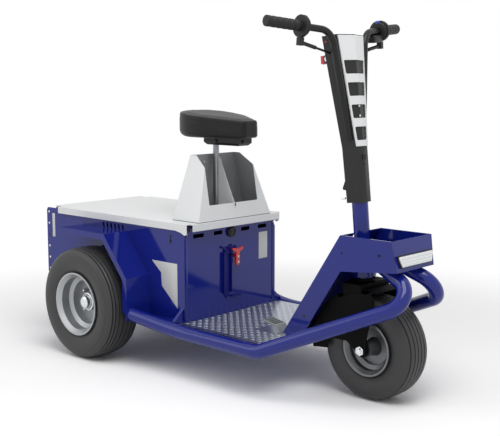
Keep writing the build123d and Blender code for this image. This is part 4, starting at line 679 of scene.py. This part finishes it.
# The lower edge is rolled under: widely round the back, closely at the nose
for v in shape.verts:
    x = v.co.x * 1000 + ROW_MIDDLE
    forward = min(1.0, max(0.0, (x - SEAT_MIDDLE) / (SEAT_NOSE - SEAT_MIDDLE)))
    roll = HEEL_ROUND + (NOSE_ROUND - HEEL_ROUND) * forward
    wide = SEAT_ROUND + (NOSE_HALF - SEAT_ROUND) * forward
    low = 1.0 - min(1.0, max(0.0, (v.co.z - base) * 1000 / roll))
    keep = 1.0 - roll * (1.0 - math.sqrt(1.0 - low * low)) / wide
    centre = spot(SEAT_MIDDLE + (SEAT_NOSE - NOSE_HALF - SEAT_MIDDLE) * forward, 0, 0)
    v.co.x = centre.x + (v.co.x - centre.x) * keep
    v.co.y *= keep
shape.to_mesh(cover)
shape.free()
saddle = bpy.data.objects.new("seat_cover", cover)
scene.collection.objects.link(saddle)
start = [v.co.copy() for v in cover.vertices]
held = saddle.vertex_groups.new(name="held")
held.add([i for i, p in enumerate(start) if p.z < base + HELD_BELOW], 1.0, "REPLACE")
cloth = saddle.modifiers.new("cloth", "CLOTH")
cloth.settings.use_pressure = True
cloth.settings.uniform_pressure_force = CLOTH_PRESSURE
cloth.settings.effector_weights.gravity = 0.0
cloth.settings.vertex_group_mass = "held"
for now in range(1, CLOTH_FRAMES + 1):
    scene.frame_set(now)
graph = bpy.context.evaluated_depsgraph_get()
swollen = [v.co.copy() for v in saddle.evaluated_get(graph).data.vertices]
saddle.modifiers.remove(cloth)
scene.frame_set(1)
shape = bmesh.new()
shape.from_mesh(cover)
shape.normal_update()
rise = [min(SEAT_SWELL, max(0.0, (q - p).dot(v.normal))) for v, p, q in zip(shape.verts, start, swollen)]
shape.verts.index_update()
near = [[e.other_vert(v).index for e in v.link_edges] for v in shape.verts]
for _ in range(SWELL_ROUNDS):
    rise = [0.5 * h + 0.5 * sum(rise[i] for i in ring) / len(ring) for h, ring in zip(rise, near)]
for v, h in zip(shape.verts, rise):
    rim = RIM_REAR - RIM_DROP * (v.co.x * 1000 + ROW_MIDDLE - SEAT_REAR) / SEAT_LONG
    wall = max(0.0, 1 - abs(v.normal.z) * 1.3)
    seam = SEAM_DEEP * wall * math.exp(-(((v.co.z - rim + SEAM_BELOW) / SEAM_WIDE) ** 2))
    corner = Vector((v.co.x - spot(SEAT_NOSE - 3, 0, 0).x, abs(v.co.y) - (NOSE_HALF - 1) / 1000)).length
    seam += CREASE_DEEP * wall * math.exp(-((corner / CREASE_WIDE) ** 2))
    # The rim is drawn out from its round to a crisper edge, most at its middle
    up = max(0.0, v.normal.z)
    crisp = SEAT_CRISP * (1 / max(up, math.sqrt(1 - min(1.0, up * up))) - 1)
    v.co += v.normal * (h - seam + crisp)
    v.co.z = max(v.co.z, base)
shape.to_mesh(cover)
shape.free()
for face in cover.polygons:
    face.use_smooth = True
cover.materials.append(vinyl)
finer = saddle.modifiers.new("finer", "SUBSURF")
finer.levels = finer.render_levels = 1
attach(saddle, "lid")
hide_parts("seat")

# Head: two folded cheeks and a tray between them, with the head tube, coated blue, and a lamp bar with a ribbed
# clear lens in a black bezel across the front.
dress(blue_coat, "head_cheek_right", "head_cheek_left", "head_tray", "head_tube")
soften(0.9, "head_cheek_right", "head_cheek_left", "head_tray", "head_tube")
# Leg shield: a blue web plate between the fork cheeks, in the darker blue as painted shade from the head above it
SHIELD = ((764, -104.8, 178), (764, 104.8, 178), (923, 104.8, 418), (923, -104.8, 418))
shape = bmesh.new()
slab(shape, [spot(*corner) for corner in SHIELD], (2.1, 0, -1.4))
piece("leg_shield", shape, "chassis", "blue_paint", shaded_blue_coat)
LAMP_OUT, LAMP_UP = Vector((0.984, 0, 0.176)), Vector((-0.176, 0, 0.984))
LAMP_ROOT = spot(1201.5, 0, 468)


def lamp_at(y, up, out):
    """Point on the lamp, in millimetres across, up its face and out from its back."""
    return LAMP_ROOT + Vector((0, y / 1000, 0)) + LAMP_UP * up / 1000 + LAMP_OUT * out / 1000


# Clear lens over a white reflector: bright, with a smooth shine
lens = plain_finish("lamp_lens", "#e6e8e9", "#eceeef", 0.2, 30.0, 0.005, 0.6)
dress(lens, "head_lamp")
soften(0.8, "head_lamp")
BEZEL = ((-81.5, -19), (81.5, -19), (94, 19), (-94, 19))
shape = bmesh.new()
slab(shape, [lamp_at(y, up, 0.2) for y, up in BEZEL], LAMP_OUT * 7.0, 1.5)
piece("lamp_bezel", shape, "chassis", "black_plastic", moulded)
shape = bmesh.new()
for up in (-9.5, 0, 9.5):
    half = 78 + 0.3 * up
    bar = [(-half, up - 1.6), (half, up - 1.6), (half, up + 1.6), (-half, up + 1.6)]
    slab(shape, [lamp_at(y, rise, 11.6) for y, rise in bar], LAMP_OUT * 1.5, 0.6)
piece("lens_ribs", shape, "chassis", "lamp_lens", lens)
CHEEK_FACE = 110
CORNER_SEAM = ((1206.2, 101.2, 437.5), (1207.2, 100.9, 437.5), (1190.2, 109.9, 532.5), (1189.2, 110.1, 532.5))
shape = bmesh.new()
for out in (-1, 1):
    for x, z in ((1005, 477.5), (1146, 485), (855, 251)):
        drilled(shape, spot(x, out * CHEEK_FACE, z), (0, out, 0), 4)
    slab(shape, [spot(x, out * y, z) for x, y, z in CORNER_SEAM], (0.2, out * 0.35, 0))
piece("cheek_holes", shape, "chassis", "black_plastic", void)

# Front wheel, fork and guard: a black ribbed tyre on a silver rim, turning on a bolt through the black welded fork,
# with a black sheet guard close round the tyre.
FRONT_CROWN, FRONT_DROP, FRONT_GROOVES = 168.0, 8.0, (44, 26, 9)
AXLE = spot(1063, 0, FRONT_CROWN)
tyre(
    "front_tyre_ribbed", "front_tyre", FRONT_WALL, FRONT_CROWN, FRONT_DROP, FRONT_GROOVES, AXLE, "front_wheel",
)
# Silver rim paint made darker and greyer, with little sparkle: painted shade for the front rim, which sits in the
# frame's shade
shaded_silver = plated("shaded_silver_rim_paint", "#77797b", "#838587", 0.5, 40.0, 0.01)
dress(shaded_silver, "front_rim")
soften(0.8, "front_rim")
# Matt black coat: swallows the light, so the fork reads as one dark shape
matt_black = plain_finish("matt_black_coat", "#040405", "#070708", 0.6, 6.0, 0.05, 0.0, 1.18)
dress(matt_black, "fork", "front_guard")
soften(1.2, "fork", "front_guard")
FORK_CHEEK = (
    (1046, 160), (1052, 150), (1074, 150), (1080, 160), (1084, 206), (1112, 335),
    (1100, 352), (1032, 350), (938, 314), (884, 216), (896, 190), (1008, 190),
)
shape = bmesh.new()
for out in (-1, 1):
    slab(shape, [spot(x, out * 78.6, z) for x, z in FORK_CHEEK], (0, out * 2.4, 0), 0.6)
piece("fork_cheeks", shape, "steering", "black_paint", matt_black)
dress(chrome, "front_axle")
soften(1.0, "front_axle")
SEAL = ((58.2, 17.0), (58.2, 26), (61, 26.5), (63, 24), (63, 17.0))
shape = bmesh.new()
for out in (-1, 1):
    turn(shape, SEAL, AXLE, (0, out, 0), 36, True)
piece("front_hub_seals", shape, "front_wheel", "tyre_rubber", rubber)
AXLE_END = ((89.2, 0), (89.2, 9), (93, 9), (94, 8), (94, 0))
shape = bmesh.new()
for out in (-1, 1):
    turn(shape, AXLE_END, AXLE, (0, out, 0), 24)
piece("front_axle_ends", shape, "steering", "zinc_steel", chrome)

# Steering column and console: a blue tube up from the fork, with a black moulded casing round its upper half and a
# folded white panel with dark windows on the front of the casing.
STEER_POINT = spot(992, 0, 621)
STEER_UP, STEER_FWD = Vector((-0.095846, 0, 0.995396)), Vector((0.995396, 0, 0.095846))


def steered(fwd, y, up):
    """Point beside the steering axis, in millimetres forward, to the left and up along it."""
    return STEER_POINT + (STEER_FWD * fwd + STEER_UP * up) / 1000 + Vector((0, y / 1000, 0))


dress(blue_coat, "steering_column")
soften(0.8, "steering_column")
dress(moulded, "console_shell")
soften(2.0, "console_shell")
dress(white_coat, "console_panel")
soften(0.8, "console_panel")
COLUMN_NUT = ((-156, 26.3), (-156, 35), (-147, 35), (-144, 32), (-144, 26.3))
COLUMN_SEAL = ((-244.6, 26.3), (-244.6, 37), (-238, 37), (-238, 26.3))
shape = bmesh.new()
turn(shape, COLUMN_NUT, STEER_POINT, STEER_UP, 6, True)
turn(shape, COLUMN_SEAL, STEER_POINT, STEER_UP, 36, True)
piece("column_rings", shape, "steering", "black_paint", matt_black)
SQUARE_HOLE = ((-0.008, -0.008), (0.008, -0.008), (0.008, 0.008), (-0.008, 0.008))
shape = bmesh.new()
face = land("console_shell", steered(90, 0, 149), -STEER_FWD)
corners = [face + STEER_UP * up + Vector((0, y, 0)) - STEER_FWD * 0.0035 for y, up in SQUARE_HOLE]
slab(shape, corners, STEER_FWD * 4.0)
face = land("console_shell", steered(90, -1, 126), -STEER_FWD)
turn(shape, ((-1, 0), (-1, 3.5), (0.3, 3.5), (0.3, 0)), face, STEER_FWD, 16)
piece("console_holes", shape, "steering", "black_plastic", void)
shape = bmesh.new()
for up in (311, 280):
    turn(shape, SCREW, land("console_shell", steered(90, -3, up), -STEER_FWD), STEER_FWD, 16)
piece("console_screws", shape, "steering", "zinc_steel", zinc)

# Handlebar, grips and cables: bent black steel bars from the casing, ribbed rubber grips with flanges, and a stiff
# cable from each flange to the casing; a key switch with a red tag faces the rider.
dress(black_coat, "handlebar_right", "handlebar_left")
soften(0.6, "handlebar_right", "handlebar_left")
# Grip rubber: black and dull, with its ribs picked out by the light
grip_rubber = plain_finish("grip_rubber", "#131314", "#1a1a1b", 0.55, 3.0, 0.2, 0.0, 1.42)
dress(grip_rubber, "grip_right", "grip_left")
soften(0.6, "grip_right", "grip_left")
dress(moulded, "control_cable_right", "control_cable_left", "key_switch")
soften(0.5, "control_cable_right", "control_cable_left", "key_switch")
KEY_TAG = ((-35, 453), (-27, 453), (-27, 479), (-35, 479))
KEY_RING = ((10.6, 0), (10.6, 9), (12, 8.4), (12, 0))
KEY_BARREL = ((0, 0), (0, 15), (9, 15), (11, 13.5), (11, 0))
CASING_PEG = ((0, 0), (0, 3.4), (15, 3.4), (16, 2.4), (16, 0))
key_place = steered(-59, -38, 466)
shape = bmesh.new()
slab(shape, [steered(-70.5, y, up) for y, up in KEY_TAG], STEER_FWD * -24.0, 1.5)
piece("key_tag", shape, "steering", "red_plastic", red_coat)
shape = bmesh.new()
turn(shape, KEY_RING, key_place, (0, -1, 0), 28)
turn(shape, CASING_PEG, steered(-46, -14, 20), -STEER_FWD, 16)
piece("key_ring", shape, "steering", "zinc_steel", chrome)
shape = bmesh.new()
turn(shape, KEY_BARREL, key_place, (0, -1, 0), 32)
piece("key_barrel", shape, "steering", "black_plastic", moulded)
# Points on the left bar beside the steering axis: its bend and its end
BAR_CORNER, BAR_END = (-3, 86, 546), (-52, 332, 573)
COLLAR_FROM_BEND = 0.112
COLLAR = ((-9, 12), (-9, 26), (-7, 28), (-2, 28), (-1, 30), (0.2, 30), (0.2, 12))
shape = bmesh.new()
for out in (-1, 1):
    corner = steered(BAR_CORNER[0], out * BAR_CORNER[1], BAR_CORNER[2])
    along = (steered(BAR_END[0], out * BAR_END[1], BAR_END[2]) - corner).normalized()
    root = corner + along * COLLAR_FROM_BEND
    turn(shape, COLLAR, root, along, 40, True)
piece("grip_collars", shape, "steering", "grip_rubber", grip_rubber)
# The last bend, collar and direction are the left bar's, which carries the switch block and its button
LEVER_BLOCK = (0.058, 0.03, 0.024)
shape = bmesh.new()
block = bmesh.ops.create_cube(shape, size=1.0)["verts"]
aim = along.to_track_quat("X", "Z").to_matrix().to_4x4()
stand = Matrix.Translation(corner + along * 0.075 - STEER_UP * 0.024)
bmesh.ops.transform(shape, verts=block, matrix=stand @ aim @ Matrix.Diagonal((*LEVER_BLOCK, 1)))
bmesh.ops.bevel(
    shape, geom=shape.edges[:], offset=0.005, affect="EDGES", segments=3, profile=0.5, material=-1,
)
piece("lever_block", shape, "steering", "black_plastic", moulded)
GRIP_BUTTON = ((24, 0), (24, 8), (31, 8), (33.5, 6), (34, 0))
shape = bmesh.new()
turn(shape, GRIP_BUTTON, root - along * 0.004, STEER_UP, 20)
# Moulded button: a lighter, clearer blue than the paint
blue_button = plain_finish("blue_button", "#1d3fae", "#2247b8", 0.35, 6.0, 0.03, 0.2)
piece("grip_button", shape, "steering", "blue_paint", blue_button)
SIDE_BUTTON = ((-2, 0), (-2, 3.2), (1.0, 3.2), (1.8, 2), (2.0, 0))
shape = bmesh.new()
for x, z in ((899, 1132), (937, 1130)):
    place = land("console_shell", spot(x, -200, z), (0, 1, 0))
    turn(shape, SIDE_BUTTON, place, (0, -1, 0), 16)
piece("side_buttons", shape, "steering", "red_plastic", red_coat)

# Tow hitch: a jaw of welded steel plate behind the box with a drop pin, zinc plated and worn dull by the drawbar
# eyes that it takes.
dress(dull_zinc, "tow_hitch")
soften(1.5, "tow_hitch")
